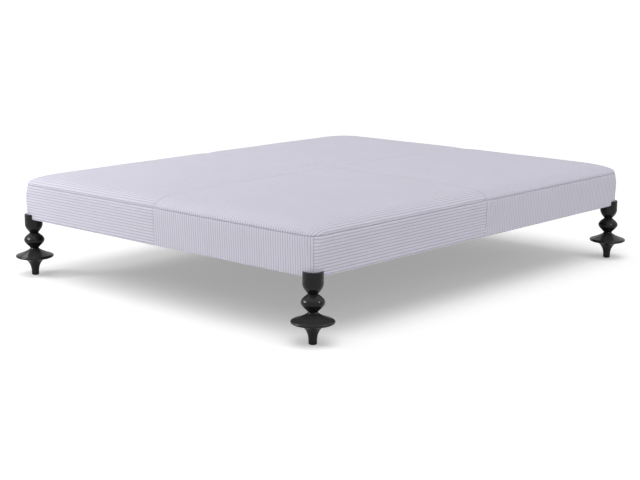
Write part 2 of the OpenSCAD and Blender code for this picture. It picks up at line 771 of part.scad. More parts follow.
module at_dust_tacks() {
    for (s = [-1, 1]) {
        for (x = dust_tack_places(rail_inner_x))
            translate([x, s * (rail_inner_y + tack_margin), 0]) children();
        for (y = dust_tack_places(rail_inner_y))
            translate([s * (rail_inner_x + tack_margin), y, 0]) children();
    }
}

module dust_cover() {
    color([0.12, 0.12, 0.13]) difference() {
        slab(side_tuck + dust_cover_margin, underside_z, dust_cover_thickness);
        for (q = QUADRANTS) in_corner(q) leg_axis() translate([0, 0, underside_z - overrun])
            cylinder(dust_cover_thickness + 2 * overrun, r = bolt_radius + socket_gap, $fn = 48);
        at_dust_tacks() dust_tack_hole();
    }
}

module dust_cover_tacks() {
    color([0.3, 0.32, 0.38]) at_dust_tacks() translate([0, 0, underside_z])
        mirror([0, 0, 1]) tack(frame_z - underside_z + tack_bite);
}

// Nodes

leg([-1, -1]);  // leg_front_left
leg([1, -1]);  // leg_front_right
leg([1, 1]);  // leg_back_right
leg([-1, 1]);  // leg_back_left
glides();
hanger_bolts();
threaded_inserts();
post([-1, -1]);  // post_front_left
post([1, -1]);  // post_front_right
post([1, 1]);  // post_back_right
post([-1, 1]);  // post_back_left
color([0.8, 0.66, 0.45]) mirror([0, 1, 0]) long_rail();  // rail_front
color([0.8, 0.66, 0.45]) long_rail();  // rail_back
color([0.84, 0.7, 0.5]) mirror([1, 0, 0]) end_rail();  // rail_left
color([0.84, 0.7, 0.5]) end_rail();  // rail_right
cross_rails();
centre_spine();
brace([-1, -1]);  // brace_front_left
brace([1, -1]);  // brace_front_right
brace([1, 1]);  // brace_back_right
brace([-1, 1]);  // brace_back_left
brace_screws();
webbing_long();
webbing_cross();
webbing_tacks();
hessian();
color([0.9, 0.8, 0.62]) mirror([0, 1, 0]) edge_foam_long();  // edge_foam_front
color([0.9, 0.8, 0.62]) edge_foam_long();  // edge_foam_back
color([0.88, 0.78, 0.6]) mirror([1, 0, 0]) edge_foam_end();  // edge_foam_left
color([0.88, 0.78, 0.6]) edge_foam_end();  // edge_foam_right
foam_slab();
crown_pad();
fibre_wrap();
color([0.9, 0.9, 0.88]) mirror([0, 1, 0]) side_pad_back();  // side_pad_front
color([0.9, 0.9, 0.88]) side_pad_back();
color([0.88, 0.88, 0.86]) mirror([1, 0, 0]) side_pad_right();  // side_pad_left
color([0.88, 0.88, 0.86]) side_pad_right();
top_panel([-1, -1]);  // top_front_left
top_panel([1, -1]);  // top_front_right
top_panel([1, 1]);  // top_back_right
top_panel([-1, 1]);  // top_back_left
in_corner([-1, -1]) band_back_half();  // band_front_left
in_corner([1, -1]) band_back_half();  // band_front_right
in_corner([1, -1]) band_right_half();  // band_right_front
in_corner([1, 1]) band_right_half();  // band_right_back
in_corner([1, 1]) band_back_half();  // band_back_right
in_corner([-1, 1]) band_back_half();  // band_back_left
in_corner([-1, 1]) band_right_half();  // band_left_back
in_corner([-1, -1]) band_right_half();  // band_left_front
seam_tape();
dust_cover();
dust_cover_tacks();
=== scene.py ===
"""Backless divan: the cover, padding, turned legs and finishes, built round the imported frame.

Metres, +Z up, origin on the floor under the middle of the box, front face towards -Y.
"""

from __future__ import annotations

import logging
import math
from dataclasses import dataclass, field
from enum import Enum
from typing import Callable

import bmesh
import bpy
from mathutils import Matrix, Vector, noise


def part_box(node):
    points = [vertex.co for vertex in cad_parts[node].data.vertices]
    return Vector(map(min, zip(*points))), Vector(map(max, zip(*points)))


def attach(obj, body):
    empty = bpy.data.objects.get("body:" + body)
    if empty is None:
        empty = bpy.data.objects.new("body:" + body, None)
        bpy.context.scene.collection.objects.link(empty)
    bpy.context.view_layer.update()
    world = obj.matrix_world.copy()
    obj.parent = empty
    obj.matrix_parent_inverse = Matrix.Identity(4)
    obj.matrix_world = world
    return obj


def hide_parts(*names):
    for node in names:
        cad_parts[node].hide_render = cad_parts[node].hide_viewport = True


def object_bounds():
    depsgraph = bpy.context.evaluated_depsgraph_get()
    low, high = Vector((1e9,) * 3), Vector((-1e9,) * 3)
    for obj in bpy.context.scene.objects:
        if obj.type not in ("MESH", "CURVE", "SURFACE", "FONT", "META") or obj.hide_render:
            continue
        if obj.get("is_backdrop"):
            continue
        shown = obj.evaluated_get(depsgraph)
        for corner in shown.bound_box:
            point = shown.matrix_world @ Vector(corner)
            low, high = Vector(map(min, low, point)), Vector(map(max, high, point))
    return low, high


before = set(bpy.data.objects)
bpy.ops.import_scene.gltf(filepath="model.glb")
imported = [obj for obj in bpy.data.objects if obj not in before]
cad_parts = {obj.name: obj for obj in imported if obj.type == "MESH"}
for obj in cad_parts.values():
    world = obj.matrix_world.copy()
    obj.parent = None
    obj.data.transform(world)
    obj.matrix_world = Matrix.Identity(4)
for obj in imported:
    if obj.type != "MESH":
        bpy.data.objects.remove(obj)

CAD_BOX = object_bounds()
LOG = logging.getLogger("divan")
BODY = "root"
QUARTERS = {"front_left": (-1, -1), "front_right": (1, -1), "back_right": (1, 1), "back_left": (-1, 1)}
QUARTER_TURN = math.pi / 2
SHORTEST_POST = 0.01
FADE_POWER = 3
SEED_SKEW = 1.7
WHITE = (1.0, 1.0, 1.0, 1.0)
Colour = tuple[float, float, float]
Place = tuple[float, float, float]
Pair = tuple[float, float]
Signs = tuple[int, int]
Cells = tuple[int, int]
Value = float | tuple | bpy.types.NodeSocket
Look = tuple[Value, Value, list[tuple[Value, float]]]


# Node trees


class Web:
    """Places and links the nodes of one shader tree."""

    def __init__(self, tree: bpy.types.NodeTree) -> None:
        """Keeps the tree that is filled."""
        self.tree = tree

    @classmethod
    def fresh(cls, owner: bpy.types.Material | bpy.types.World) -> Web:
        """Empties the nodes of a material or world.

        Args:
            owner: the material or world.

        Returns:
            Its tree, to be filled.
        """
        owner.use_nodes = True
        owner.node_tree.nodes.clear()
        return cls(owner.node_tree)

    def node(self, kind: str, inputs: dict[str | int, Value] | None = None,
             **settings: object) -> bpy.types.Node:
        """Adds one node.

        Args:
            kind: the node's type, without its ShaderNode prefix.
            inputs: what each input takes, a value or another node's output.
            settings: the node's own options.

        Returns:
            The new node.
        """
        node = self.tree.nodes.new("ShaderNode" + kind)
        for name, value in settings.items():
            setattr(node, name, value)
        for key, value in (inputs or {}).items():
            if isinstance(value, bpy.types.NodeSocket):
                self.tree.links.new(value, node.inputs[key])
            else:
                node.inputs[key].default_value = value
        return node

    def math(self, operation: str, *values: Value, clamp: bool = False) -> bpy.types.NodeSocket:
        """Works out one operation on numbers.

        Args:
            operation: the Math node's operation.
            values: its operands.
            clamp: keeps the result between 0 and 1.

        Returns:
            The result.
        """
        node = self.node("Math", dict(enumerate(values)), operation=operation, use_clamp=clamp)
        return node.outputs[0]

    def blend(self, share: Value, first: Value, second: Value) -> bpy.types.NodeSocket:
        """Blends two colours.

        Args:
            share: how much of the second colour shows.
            first: the colour at share 0.
            second: the colour at share 1.

        Returns:
            The blended colour.
        """
        whole = [(*c, 1.0) if isinstance(c, tuple) else c for c in (first, second)]
        node = self.node("Mix", {0: share, 6: whole[0], 7: whole[1]}, data_type="RGBA")
        return node.outputs[2]

    def span(self, value: Value, low: float, high: float) -> bpy.types.NodeSocket:
        """Stretches a value from 0..1 to low..high."""
        return self.node("MapRange", {0: value, 3: low, 4: high}).outputs[0]

    def within(self, value: Value, low: float, high: float) -> bpy.types.NodeSocket:
        """Stretches a value from low..high to 0..1."""
        return self.node("MapRange", {0: value, 1: low, 2: high}).outputs[0]

    def noise(self, vector: Value, scale: Value, detail: float) -> bpy.types.NodeSocket:
        """Smooth noise over a vector, from 0 to 1."""
        return self.node("TexNoise", {"Vector": vector, "Scale": scale, "Detail": detail}).outputs[0]

    def drawn(self, vector: Value, factors: Place) -> bpy.types.NodeSocket:
        """A vector times a factor along each axis, which draws a pattern out."""
        return self.node("VectorMath", {0: vector, 1: factors}, operation="MULTIPLY").outputs[0]

    def coordinates(self, kind: str) -> bpy.types.NodeSocket:
        """The Texture Coordinate output of that name."""
        return self.node("TexCoord").outputs[kind]


class GroupWeb(Web):
    """The tree of a shader group, between what it takes and what it gives."""

    def __init__(self, tree: bpy.types.NodeTree) -> None:
        """Adds the group's two end nodes.

        Args:
            tree: the group's tree.
        """
        super().__init__(tree)
        self.taken = tree.nodes.new("NodeGroupInput").outputs
        self.given = tree.nodes.new("NodeGroupOutput").inputs

    def give(self, name: str, value: bpy.types.NodeSocket) -> None:
        """Links a value to the group's output of that name."""
        self.tree.links.new(value, self.given[name])


@dataclass(frozen=True)
class GroupNode:
    """A shader group, built on first use and then shared.

    Its inputs are listed with their socket kinds, its outputs are numbers, and fill links its nodes.
    """

    name: str
    inputs: dict[str, str]
    outputs: tuple[str, ...]
    fill: Callable[[GroupWeb], None]

    def made(self) -> bpy.types.NodeTree:
        """Builds the group.

        Returns:
            Its tree.
        """
        tree = bpy.data.node_groups.new(self.name, "ShaderNodeTree")
        for name, kind in self.inputs.items():
            tree.interface.new_socket(name=name, in_out="INPUT", socket_type="NodeSocket" + kind)
        for name in self.outputs:
            tree.interface.new_socket(name=name, in_out="OUTPUT", socket_type="NodeSocketFloat")
        self.fill(GroupWeb(tree))
        return tree

    def place(self, web: Web, **values: Value) -> bpy.types.bpy_prop_collection:
        """Puts the group into a material.

        Args:
            web: the material's tree.
            values: what each input takes.

        Returns:
            The outputs of the group's node.
        """
        tree = bpy.data.node_groups.get(self.name) or self.made()
        return web.node("Group", values, node_tree=tree).outputs


def fill_weave(web: GroupWeb) -> None:
    """Plain weave: threads that pass over and under each other, with thick and thin places.

    Args:
        web: the group's tree.
    """
    parts = web.node("SeparateXYZ", {0: web.taken["Vector"]}).outputs
    turns = [web.math("DIVIDE", parts[axis], web.taken["Thread"]) for axis in "XY"]
    waves = [web.math("SINE", web.math("MULTIPLY", turn, math.pi)) for turn in turns]
    web.give("Height", web.math("MULTIPLY_ADD", web.math("MULTIPLY", *waves), 0.5, 0.5))
    stretches = ((40.0, 900.0, 1.0), (900.0, 40.0, 1.0))
    threads = [web.drawn(web.taken["Vector"], stretch) for stretch in stretches]
    slubs = [web.math("MULTIPLY", web.noise(thread, 1.0, 2.0), 0.5) for thread in threads]
    web.give("Slub", web.math("ADD", *slubs))


def fill_stripes(web: GroupWeb) -> None:
    """Ticking stripes across the cloth, and the low rib that each ground stripe makes.

    Args:
        web: the group's tree.
    """
    across = web.node("SeparateXYZ", {0: web.taken["Vector"]}).outputs["Y"]
    wander = web.noise(web.drawn(web.taken["Vector"], (9.0, 160.0, 1.0)), 1.0, 3.0)
    moved = web.math("MULTIPLY_ADD", web.math("SUBTRACT", wander, 0.5), 0.0016, across)
    turns = web.math("FRACT", web.math("DIVIDE", moved, web.taken["Pitch"]))
    away = web.math("MULTIPLY", web.math("ABSOLUTE", web.math("SUBTRACT", turns, 0.5)), 2.0)
    edge = web.math("SUBTRACT", 1.0, web.taken["Share"])
    low, high = [web.math(way, edge, web.taken["Softness"]) for way in ("SUBTRACT", "ADD")]
    line = web.node("MapRange", {0: away, 1: low, 2: high}, interpolation_type="SMOOTHSTEP").outputs[0]
    strength = web.math("MULTIPLY_ADD", wander, 0.5, 0.75)
    web.give("Line", web.math("MULTIPLY", line, strength, clamp=True))
    web.give("Rib", web.math("SUBTRACT", 1.0, web.math("POWER", away, 2.0)))


def fill_tone(web: GroupWeb) -> None:
    """Slow variation of tone: broad patches with a little fine variation in them.

    Args:
        web: the group's tree.
    """
    broad = web.noise(web.taken["Vector"], web.taken["Scale"], 2.0)
    fine = web.noise(web.taken["Vector"], web.math("MULTIPLY", web.taken["Scale"], 23.0), 1.0)
    total = web.math("MULTIPLY_ADD", fine, 0.35, web.math("MULTIPLY", broad, 0.65))
    web.give("Tone", web.within(total, 0.3, 0.7))


def fill_grain(web: GroupWeb) -> None:
    """Wood grain along the vector's Z: rings that wander, and short open pores.

    Args:
        web: the group's tree.
    """
    along = web.drawn(web.taken["Vector"], (1.0, 1.0, 0.06))
    bend = web.noise(along, 9.0, 3.0)
    waves = {"Vector": along, "Scale": web.taken["Rings"], "Distortion": 4.0, "Detail": 2.0,
             "Detail Scale": 1.5}
    rings = web.node("TexWave", waves, wave_type="RINGS", rings_direction="Z").outputs["Fac"]
    web.give("Grain", web.math("MULTIPLY_ADD", rings, 0.6, web.math("MULTIPLY", bend, 0.4)))
    specks = web.noise(web.drawn(web.taken["Vector"], (1400.0, 1400.0, 60.0)), 1.0, 1.0)
    web.give("Pores", web.within(specks, 0.56, 0.68))


def fill_wear(web: GroupWeb) -> None:
    """Wear on outward edges, broken up by noise.

    Args:
        web: the group's tree.
    """
    point = web.node("NewGeometry").outputs["Pointiness"]
    rough = web.noise(web.taken["Vector"], 140.0, 3.0)
    raised = web.math("ADD", point, web.math("MULTIPLY", web.math("SUBTRACT", rough, 0.5), 0.1))
    web.give("Wear", web.math("MULTIPLY", web.within(raised, 0.53, 0.62), web.taken["Amount"]))


def fill_dust_and_sheen(web: GroupWeb) -> None:
    """Pale grey on the faces that look up: partly dusty, partly painted sheen.

    Args:
        web: the group's tree.
    """
    upward = web.node("SeparateXYZ", {0: web.node("NewGeometry").outputs["Normal"]}).outputs["Z"]
    uneven = web.span(web.noise(web.taken["Vector"], 90.0, 4.0), 0.5, 1.5)
    laid = web.math("MULTIPLY", web.within(upward, 0.3, 0.95), uneven, clamp=True)
    web.give("Dust", web.math("MULTIPLY", laid, web.taken["Amount"]))


def fill_cells(web: GroupWeb) -> None:
    """Open cells of a foam.

    Args:
        web: the group's tree.
    """
    scale = web.math("DIVIDE", 1.0, web.taken["Size"])
    cells = web.node("TexVoronoi", {"Vector": web.taken["Vector"], "Scale": scale}).outputs["Distance"]
    web.give("Wall", web.within(cells, 0.1, 0.7))


WEAVE = GroupNode("Weave", {"Vector": "Vector", "Thread": "Float"}, ("Height", "Slub"), fill_weave)
STRIPES = GroupNode("Ticking stripes", {"Vector": "Vector", "Pitch": "Float", "Share": "Float",
                                        "Softness": "Float"}, ("Line", "Rib"), fill_stripes)
TONE = GroupNode("Tone", {"Vector": "Vector", "Scale": "Float"}, ("Tone",), fill_tone)
GRAIN = GroupNode("Wood grain", {"Vector": "Vector", "Rings": "Float"}, ("Grain", "Pores"), fill_grain)
WEAR = GroupNode("Edge wear", {"Vector": "Vector", "Amount": "Float"}, ("Wear",), fill_wear)
# Makes upward faces paler: partly dusty, partly painted sheen.
DUST_AND_SHEEN = GroupNode("Dusty faces and painted sheen", {"Vector": "Vector", "Amount": "Float"}, ("Dust",), fill_dust_and_sheen)
CELLS = GroupNode("Foam cells", {"Vector": "Vector", "Size": "Float"}, ("Wall",), fill_cells)


# Finishes


@dataclass(frozen=True)
class Finish:
    """One material, named after the slot that it fills. Its patches set how fine its tone varies."""

    slot: str
    colour: Colour
    roughness: float = 0.8
    sheen: float = 0.0
    patches: float = 10.0
    rough_play: float = 0.1

    def material(self) -> bpy.types.Material:
        """Makes the material on first use.

        Returns:
            The material.
        """
        name = f"{self.slot}_finish"
        made = bpy.data.materials.get(name)
        if made is None:
            made = bpy.data.materials.new(name)
            web = Web.fresh(made)
            shader = web.node("BsdfPrincipled", self.gloss())
            colour, rough, reliefs = self.shade(web)
            normal: dict[str, Value] = {}
            for height, depth in reliefs:
                bump = web.node("Bump", {"Height": height, "Distance": depth, **normal})
                normal = {"Normal": bump.outputs[0]}
            for socket, value in {"Base Color": colour, "Roughness": rough, **normal}.items():
                web.tree.links.new(value, shader.inputs[socket])
            web.node("OutputMaterial", {"Surface": shader.outputs[0]})
        return made

    def gloss(self) -> dict[str, float]:
        """What is the same all over, by the shader's own sockets."""
        return {"Roughness": self.roughness, "Sheen Weight": self.sheen}

    def darker(self, share: float) -> Colour:
        """The finish's colour, darkened to a share of itself."""
        return tuple(c * share for c in self.colour)

    def tone(self, web: Web) -> bpy.types.NodeSocket:
        """Slow variation from 0 to 1 over the piece."""
        return TONE.place(web, Vector=web.coordinates("Object"), Scale=self.patches)["Tone"]

    def rough(self, web: Web, value: Value) -> bpy.types.NodeSocket:
        """The roughness, raised where a value is high."""
        return web.math("MULTIPLY_ADD", value, self.rough_play, self.roughness)

    def shade(self, web: Web) -> Look:
        """Works out what varies over the surface.

        Args:
            web: the material's tree.

        Returns:
            The colour, the roughness and the reliefs, heights from 0 to 1 with their depths in metres.
        """
        raise NotImplementedError


@dataclass(frozen=True)
class StripeCloth(Finish):
    """Lined ticking: thin mauve-grey lines on a pale ground, woven with a low rib."""

    patches: float = 5.0
    line: Colour = (0.515, 0.485, 0.56)
    pitch: float = 0.0108
    share: float = 0.34
    softness: float = 0.16
    thread: float = 0.0009
    slub_shade: float = 0.14
    tones: Pair = (0.91, 0.95)
    rough_play: float = 0.06
    rib: float = 0.0007
    relief: float = 0.00018

    def shade(self, web: Web) -> Look:
        """Stripes follow the cloth's own coordinates, in metres.

        Args:
            web: the material's tree.

        Returns:
            The colour, the roughness and the reliefs.
        """
        cloth = web.coordinates("UV")
        stripes = STRIPES.place(web, Vector=cloth, Pitch=self.pitch, Share=self.share, Softness=self.softness)
        weave = WEAVE.place(web, Vector=cloth, Thread=self.thread)
        lined = web.blend(stripes["Line"], self.colour, self.line)
        tone = web.span(self.tone(web), *self.tones)
        level = web.math("MULTIPLY_ADD", weave["Slub"], self.slub_shade, tone)
        colour = web.node("VectorMath", {0: lined, "Scale": level}, operation="SCALE").outputs[0]
        rough = web.span(weave["Height"], self.roughness + self.rough_play, self.roughness - self.rough_play)
        return colour, rough, [(stripes["Rib"], self.rib), (weave["Height"], self.relief)]


@dataclass(frozen=True)
class EbonisedWood(Finish):
    """Black-stained turned wood under satin lacquer, rubbed at its edges, and paler where it looks up, partly
    dusty and partly with painted sheen.
    """

    patches: float = 30.0
    brown: Colour = (0.0132, 0.0108, 0.0102)
    worn: Colour = (0.05, 0.035, 0.026)
    # Pale grey of the upward faces, partly dusty and partly painted sheen.
    dust_and_sheen: Colour = (0.17, 0.17, 0.18)
    rings: float = 60.0
    grain_share: float = 0.5
    wear_amount: float = 0.5
    # How far upward faces turn pale grey, partly dusty and partly painted sheen.
    dust_and_sheen_amount: float = 0.16
    specular: float = 0.02
    coat: float = 0.4
    coat_roughness: float = 0.08
    grain_relief: float = 0.00005
    pore_relief: float = 0.00004

    def gloss(self) -> dict[str, float]:
        """A coat of lacquer over wood that hardly shines by itself."""
        coat = {"Coat Weight": self.coat, "Coat Roughness": self.coat_roughness}
        return super().gloss() | coat | {"Specular IOR Level": self.specular}

    def shade(self, web: Web) -> Look:
        """Faint grain, small pores, rubbed edges, and upward faces made paler, partly dusty and partly with
        painted sheen.

        Args:
            web: the material's tree.

        Returns:
            The colour, the roughness and the reliefs.
        """
        place = web.coordinates("Object")
        grain = GRAIN.place(web, Vector=place, Rings=self.rings)
        wear = WEAR.place(web, Vector=place, Amount=self.wear_amount)
        # Upward faces are made paler, partly dusty and partly with painted sheen.
        dust_and_sheen = DUST_AND_SHEEN.place(web, Vector=place, Amount=self.dust_and_sheen_amount)
        stained = web.blend(web.math("MULTIPLY", grain["Grain"], self.grain_share), self.colour, self.brown)
        rubbed = web.blend(wear["Wear"], stained, self.worn)
        colour = web.blend(dust_and_sheen["Dust"], rubbed, self.dust_and_sheen)
        rough = self.rough(web, self.tone(web))
        closed = web.math("SUBTRACT", 1.0, grain["Pores"])
        return colour, rough, [(grain["Grain"], self.grain_relief), (closed, self.pore_relief)]


@dataclass(frozen=True)
class FrameTimber(Finish):
    """Planed pale hardwood, left bare inside the box."""

    patches: float = 7.0
    rough_play: float = 0.12
    dark: Colour = (0.34, 0.2, 0.1)
    rings: float = 34.0
    ring_share: float = 0.45
    pore_share: float = 0.4
    relief: float = 0.0002

    def shade(self, web: Web) -> Look:
        """Straight grain with darker rings and open pores.

        Args:
            web: the material's tree.

        Returns:
            The colour, the roughness and the reliefs.
        """
        upright = {"Vector": web.coordinates("Object"), "Angle": QUARTER_TURN}
        lying = web.node("VectorRotate", upright, rotation_type="Y_AXIS").outputs[0]
        grain = GRAIN.place(web, Vector=lying, Rings=self.rings)
        ringed = web.blend(web.math("MULTIPLY", grain["Grain"], self.ring_share), self.colour, self.dark)
        colour = web.blend(web.math("MULTIPLY", grain["Pores"], self.pore_share), ringed, self.dark)
        rough = self.rough(web, self.tone(web))
        return colour, rough, [(grain["Grain"], self.relief)]


@dataclass(frozen=True)
class WovenStuff(Finish):
    """Plain woven cloth of one colour, such as jute, hessian, tape or the dark cloth under the box, with painted
    shade between its threads.
    """

    patches: float = 12.0
    thread: float = 0.002
    relief: float = 0.0006
    # The gaps' colour as a share of the cloth's: painted shade between the threads.
    deep: float = 0.55
    contrast: float = 1.2
    least: float = 0.25

    def shade(self, web: Web) -> Look:
        """Threads stand out from the gaps between them, which are darkened with painted shade; thin places in
        the threads darken a little too.

        Args:
            web: the material's tree.

        Returns:
            The colour, the roughness and the reliefs.
        """
        weave = WEAVE.place(web, Vector=web.coordinates("Object"), Thread=self.thread)
        raised = web.math("MULTIPLY", weave["Height"], weave["Slub"])
        shown = web.math("MULTIPLY_ADD", raised, self.contrast, self.least, clamp=True)
        # Painted shade: the low places of the weave, the gaps between threads, take the darker colour.
        colour = web.blend(shown, self.darker(self.deep), self.colour)
        rough = self.rough(web, self.tone(web))
        return colour, rough, [(weave["Height"], self.relief)]


@dataclass(frozen=True)
class Foam(Finish):
    """Cut foam, with open cells."""

    patches: float = 6.0
    rough_play: float = 0.06
    cell: float = 0.0016
    relief: float = 0.0006
    # The pits' colour as a share of the foam's: painted shade in the cells, and also the colour of aged patches.
    deep: float = 0.72
    age: float = 0.25
    wall_share: float = 0.5

    def shade(self, web: Web) -> Look:
        """Cell walls are paler than the pits between them, which are darkened with painted shade.

        Args:
            web: the material's tree.

        Returns:
            The colour, the roughness and the reliefs.
        """
        wall = CELLS.place(web, Vector=web.coordinates("Object"), Size=self.cell)["Wall"]
        # Darker colour for the painted shade in the pits and for the aged patches.
        pit_shade_and_age = self.darker(self.deep)
        aged = web.blend(web.math("MULTIPLY", self.tone(web), self.age), self.colour, pit_shade_and_age)
        # Painted shade: the pits between the cell walls take the darker colour.
        colour = web.blend(web.math("MULTIPLY", wall, self.wall_share), pit_shade_and_age, aged)
        return colour, self.rough(web, wall), [(wall, self.relief)]


@dataclass(frozen=True)
class Wadding(Finish):
    """Soft matted fibre, as in wrap and felt."""

    patches: float = 9.0
    rough_play: float = 0.08
    tangle: float = 260.0
    relief: float = 0.0012
    deep: float = 0.8

    def shade(self, web: Web) -> Look:
        """Tangled fibres over broad soft lumps.

        Args:
            web: the material's tree.

        Returns:
            The colour, the roughness and the reliefs.
        """
        matted = {"Vector": web.coordinates("Object"), "Scale": self.tangle, "Detail": 4.0, "Distortion": 3.0}
        fibres = web.node("TexNoise", matted).outputs[0]
        lumps = web.math("MULTIPLY", fibres, self.tone(web))
        colour = web.blend(lumps, self.colour, self.darker(self.deep))
        return colour, self.rough(web, fibres), [(fibres, self.relief)]


@dataclass(frozen=True)
class Metal(Finish):
    """Small hardware of steel, brass or moulded nylon, with dull patches."""

    patches: float = 90.0
    rough_play: float = 0.25
    metallic: float = 1.0
    relief: float = 0.00004
    dullness: float = 0.6

    def gloss(self) -> dict[str, float]:
        """What is the same all over, by the shader's own sockets."""
        return super().gloss() | {"Metallic": self.metallic}

    def shade(self, web: Web) -> Look:
        """Dull patches raise the roughness and darken the metal.

        Args:
            web: the material's tree.

        Returns:
            The colour, the roughness and the reliefs.
        """
        dull = self.tone(web)
        colour = web.blend(web.math("MULTIPLY", dull, self.dullness), self.colour, self.darker(self.dullness))
        return colour, self.rough(web, dull), [(dull, self.relief)]


CLOTH = StripeCloth("stripe_cloth", (0.705, 0.69, 0.805), 0.86, 0.12)
EBONY = EbonisedWood("ebonised_wood", (0.006, 0.006, 0.0068), 0.34)
TAPE = WovenStuff("seam_tape", (0.72, 0.7, 0.8), 0.9, 0.1, thread=0.0008, relief=0.0002, deep=0.6)
DUST_CLOTH = WovenStuff("dust_cloth", (0.018, 0.018, 0.02), 0.92, 0.1, thread=0.0007, relief=0.00015,
                        deep=0.4)
JUTE = WovenStuff("jute_webbing", (0.42, 0.29, 0.15), 0.94, thread=0.0035, relief=0.0009)
HESSIAN = WovenStuff("hessian", (0.45, 0.33, 0.18), 0.94, thread=0.0022, deep=0.35)
EDGE_FOAM = Foam("edge_foam", (0.78, 0.62, 0.36), 0.93, cell=0.0012)
SEAT_FOAM = Foam("seat_foam", (0.84, 0.76, 0.47), 0.93)
CROWN_FOAM = Foam("crown_foam", (0.88, 0.82, 0.6), 0.93, cell=0.0019)
FIBRE = Wadding("polyester_fibre", (0.9, 0.9, 0.89), 0.95, 0.2)
FELT = Wadding("side_felt", (0.8, 0.79, 0.76), 0.96, 0.2, tangle=420.0)
TIMBER = FrameTimber("frame_hardwood", (0.62, 0.43, 0.24), 0.62)
NYLON = Metal("glide_nylon", (0.02, 0.02, 0.02), 0.42, metallic=0.0)
ZINC = Metal("zinc_steel", (0.56, 0.57, 0.6), 0.3)
BRASS = Metal("insert_brass", (0.72, 0.52, 0.22), 0.28)
BLUED = Metal("blued_tack", (0.06, 0.07, 0.1), 0.34)


# Mesh helpers


def placed(name: str, data: bpy.types.ID) -> bpy.types.Object:
    """Adds an object to the scene.

    Args:
        name: its name.
        data: its mesh, light or camera.

    Returns:
        The object.
    """
    thing = bpy.data.objects.new(name, data)
    bpy.context.scene.collection.objects.link(thing)
    return thing


def solid_object(name: str, mesh: bmesh.types.BMesh) -> bpy.types.Object:
    """Turns a bmesh into an object at the origin.

    Args:
        name: its name.
        mesh: its shape, which is freed.

    Returns:
        The object.
    """
    data = bpy.data.meshes.new(name)
    mesh.to_mesh(data)
    mesh.free()
    return placed(name, data)


def new_piece(name: str, mesh: bmesh.types.BMesh, finish: Finish, *replaces: str) -> bpy.types.Object:
    """Turns a finished bmesh into a piece of the divan.

    Args:
        name: the piece's name.
        mesh: its shape, which is freed.
        finish: the finish that it wears.
        replaces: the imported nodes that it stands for.

    Returns:
        The piece, which rides on the divan's one body.
    """
    for face in mesh.faces:
        face.smooth = True
    piece = solid_object(name, mesh)
    piece.data.materials.append(finish.material())
    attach(piece, BODY)
    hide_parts(*replaces)
    LOG.info("%s: %d faces", name, len(piece.data.polygons))
    return piece


def add_mesh(whole: bmesh.types.BMesh, part: bmesh.types.BMesh) -> None:
    """Adds one bmesh to another.

    Args:
        whole: the mesh that grows.
        part: the mesh that is added, which is freed.
    """
    data = bpy.data.meshes.new("part")
    part.to_mesh(data)
    part.free()
    whole.from_mesh(data)
    bpy.data.meshes.remove(data)


def flat_grid(low: Vector, high: Vector, cells: Cells) -> bmesh.types.BMesh:
    """A flat grid round the origin, as large in plan as a node's box.

    Args:
        low: the box's lowest corner.
        high: its highest corner.
        cells: the grid's cells along X and Y.

    Returns:
        The grid.
    """
    mesh = bmesh.new()
    bmesh.ops.create_grid(mesh, x_segments=cells[0], y_segments=cells[1], size=0.5)
    bmesh.ops.scale(mesh, vec=(high.x - low.x, high.y - low.y, 1), verts=mesh.verts)
    return mesh


def uprights(mesh: bmesh.types.BMesh) -> list[bmesh.types.BMEdge]:
    """The edges of a block that stand up."""
    return [e for e in mesh.edges if abs(e.verts[0].co.z - e.verts[1].co.z) > SHORTEST_POST]


def round_off(mesh: bmesh.types.BMesh, parts: list, radius: float, segments: int,
              affect: str = "EDGES") -> None:
    """Rounds some of a mesh's edges or corners off.

    Args:
        mesh: the mesh.
        parts: the edges or corners.
        radius: how far the rounding reaches from them.
        segments: its steps.
        affect: EDGES or VERTICES, as the parts are.
    """
    bmesh.ops.bevel(mesh, geom=parts, offset=radius, segments=segments, profile=0.5, affect=affect,
                    material=-1)


def turn_towards(mesh: bmesh.types.BMesh, outward: Vector) -> None:
    """Turns a sheet's faces round if they look away from a direction.

    Args:
        mesh: the sheet.
        outward: the direction.
    """
    mesh.normal_update()
    if sum(face.normal.dot(outward) * face.calc_area() for face in mesh.faces) < 0:
        bmesh.ops.reverse_faces(mesh, faces=mesh.faces)
        mesh.normal_update()


def thicken(piece: bpy.types.Object, thickness: float, offset: float = -1.0) -> None:
    """Gives a sheet its thickness, and closes its edges.

    Args:
        piece: the sheet.
        thickness: its thickness.
        offset: -1 where it grows inwards, 1 where it grows outwards.
    """
    wall = piece.modifiers.new("Thickness", "SOLIDIFY")
    wall.thickness, wall.offset, wall.use_rim = thickness, offset, True


def apply_modifiers(piece: bpy.types.Object) -> None:
    """Makes a piece's modifiers part of its mesh.

    Args:
        piece: the piece.
    """
    seen = piece.evaluated_get(bpy.context.evaluated_depsgraph_get())
    made = bpy.data.meshes.new_from_object(seen)
    piece.modifiers.clear()
    old, piece.data = piece.data, made
    made.name = old.name
    bpy.data.meshes.remove(old)


def graded(count: int, edge_share: float) -> list[float]:
    """Shares from 0 to 1 that lie closer together at both ends.

    Args:
        count: the number of steps.
        edge_share: the end step as a share of an even step.

    Returns:
        The count + 1 shares.
    """
    steps = [edge_share + (1 - edge_share) * math.sin(math.pi * (i + 0.5) / count) for i in range(count)]
    total = sum(steps)
    shares = [0.0]
    for step in steps:
        shares.append(shares[-1] + step / total)
    return shares


def clamped(value: float) -> float:
    """A value kept between 0 and 1."""
    return min(max(value, 0.0), 1.0)


def eased(value: float) -> float:
    """A value kept between 0 and 1, which starts and ends softly."""
    share = clamped(value)
    return share * share * (3 - 2 * share)


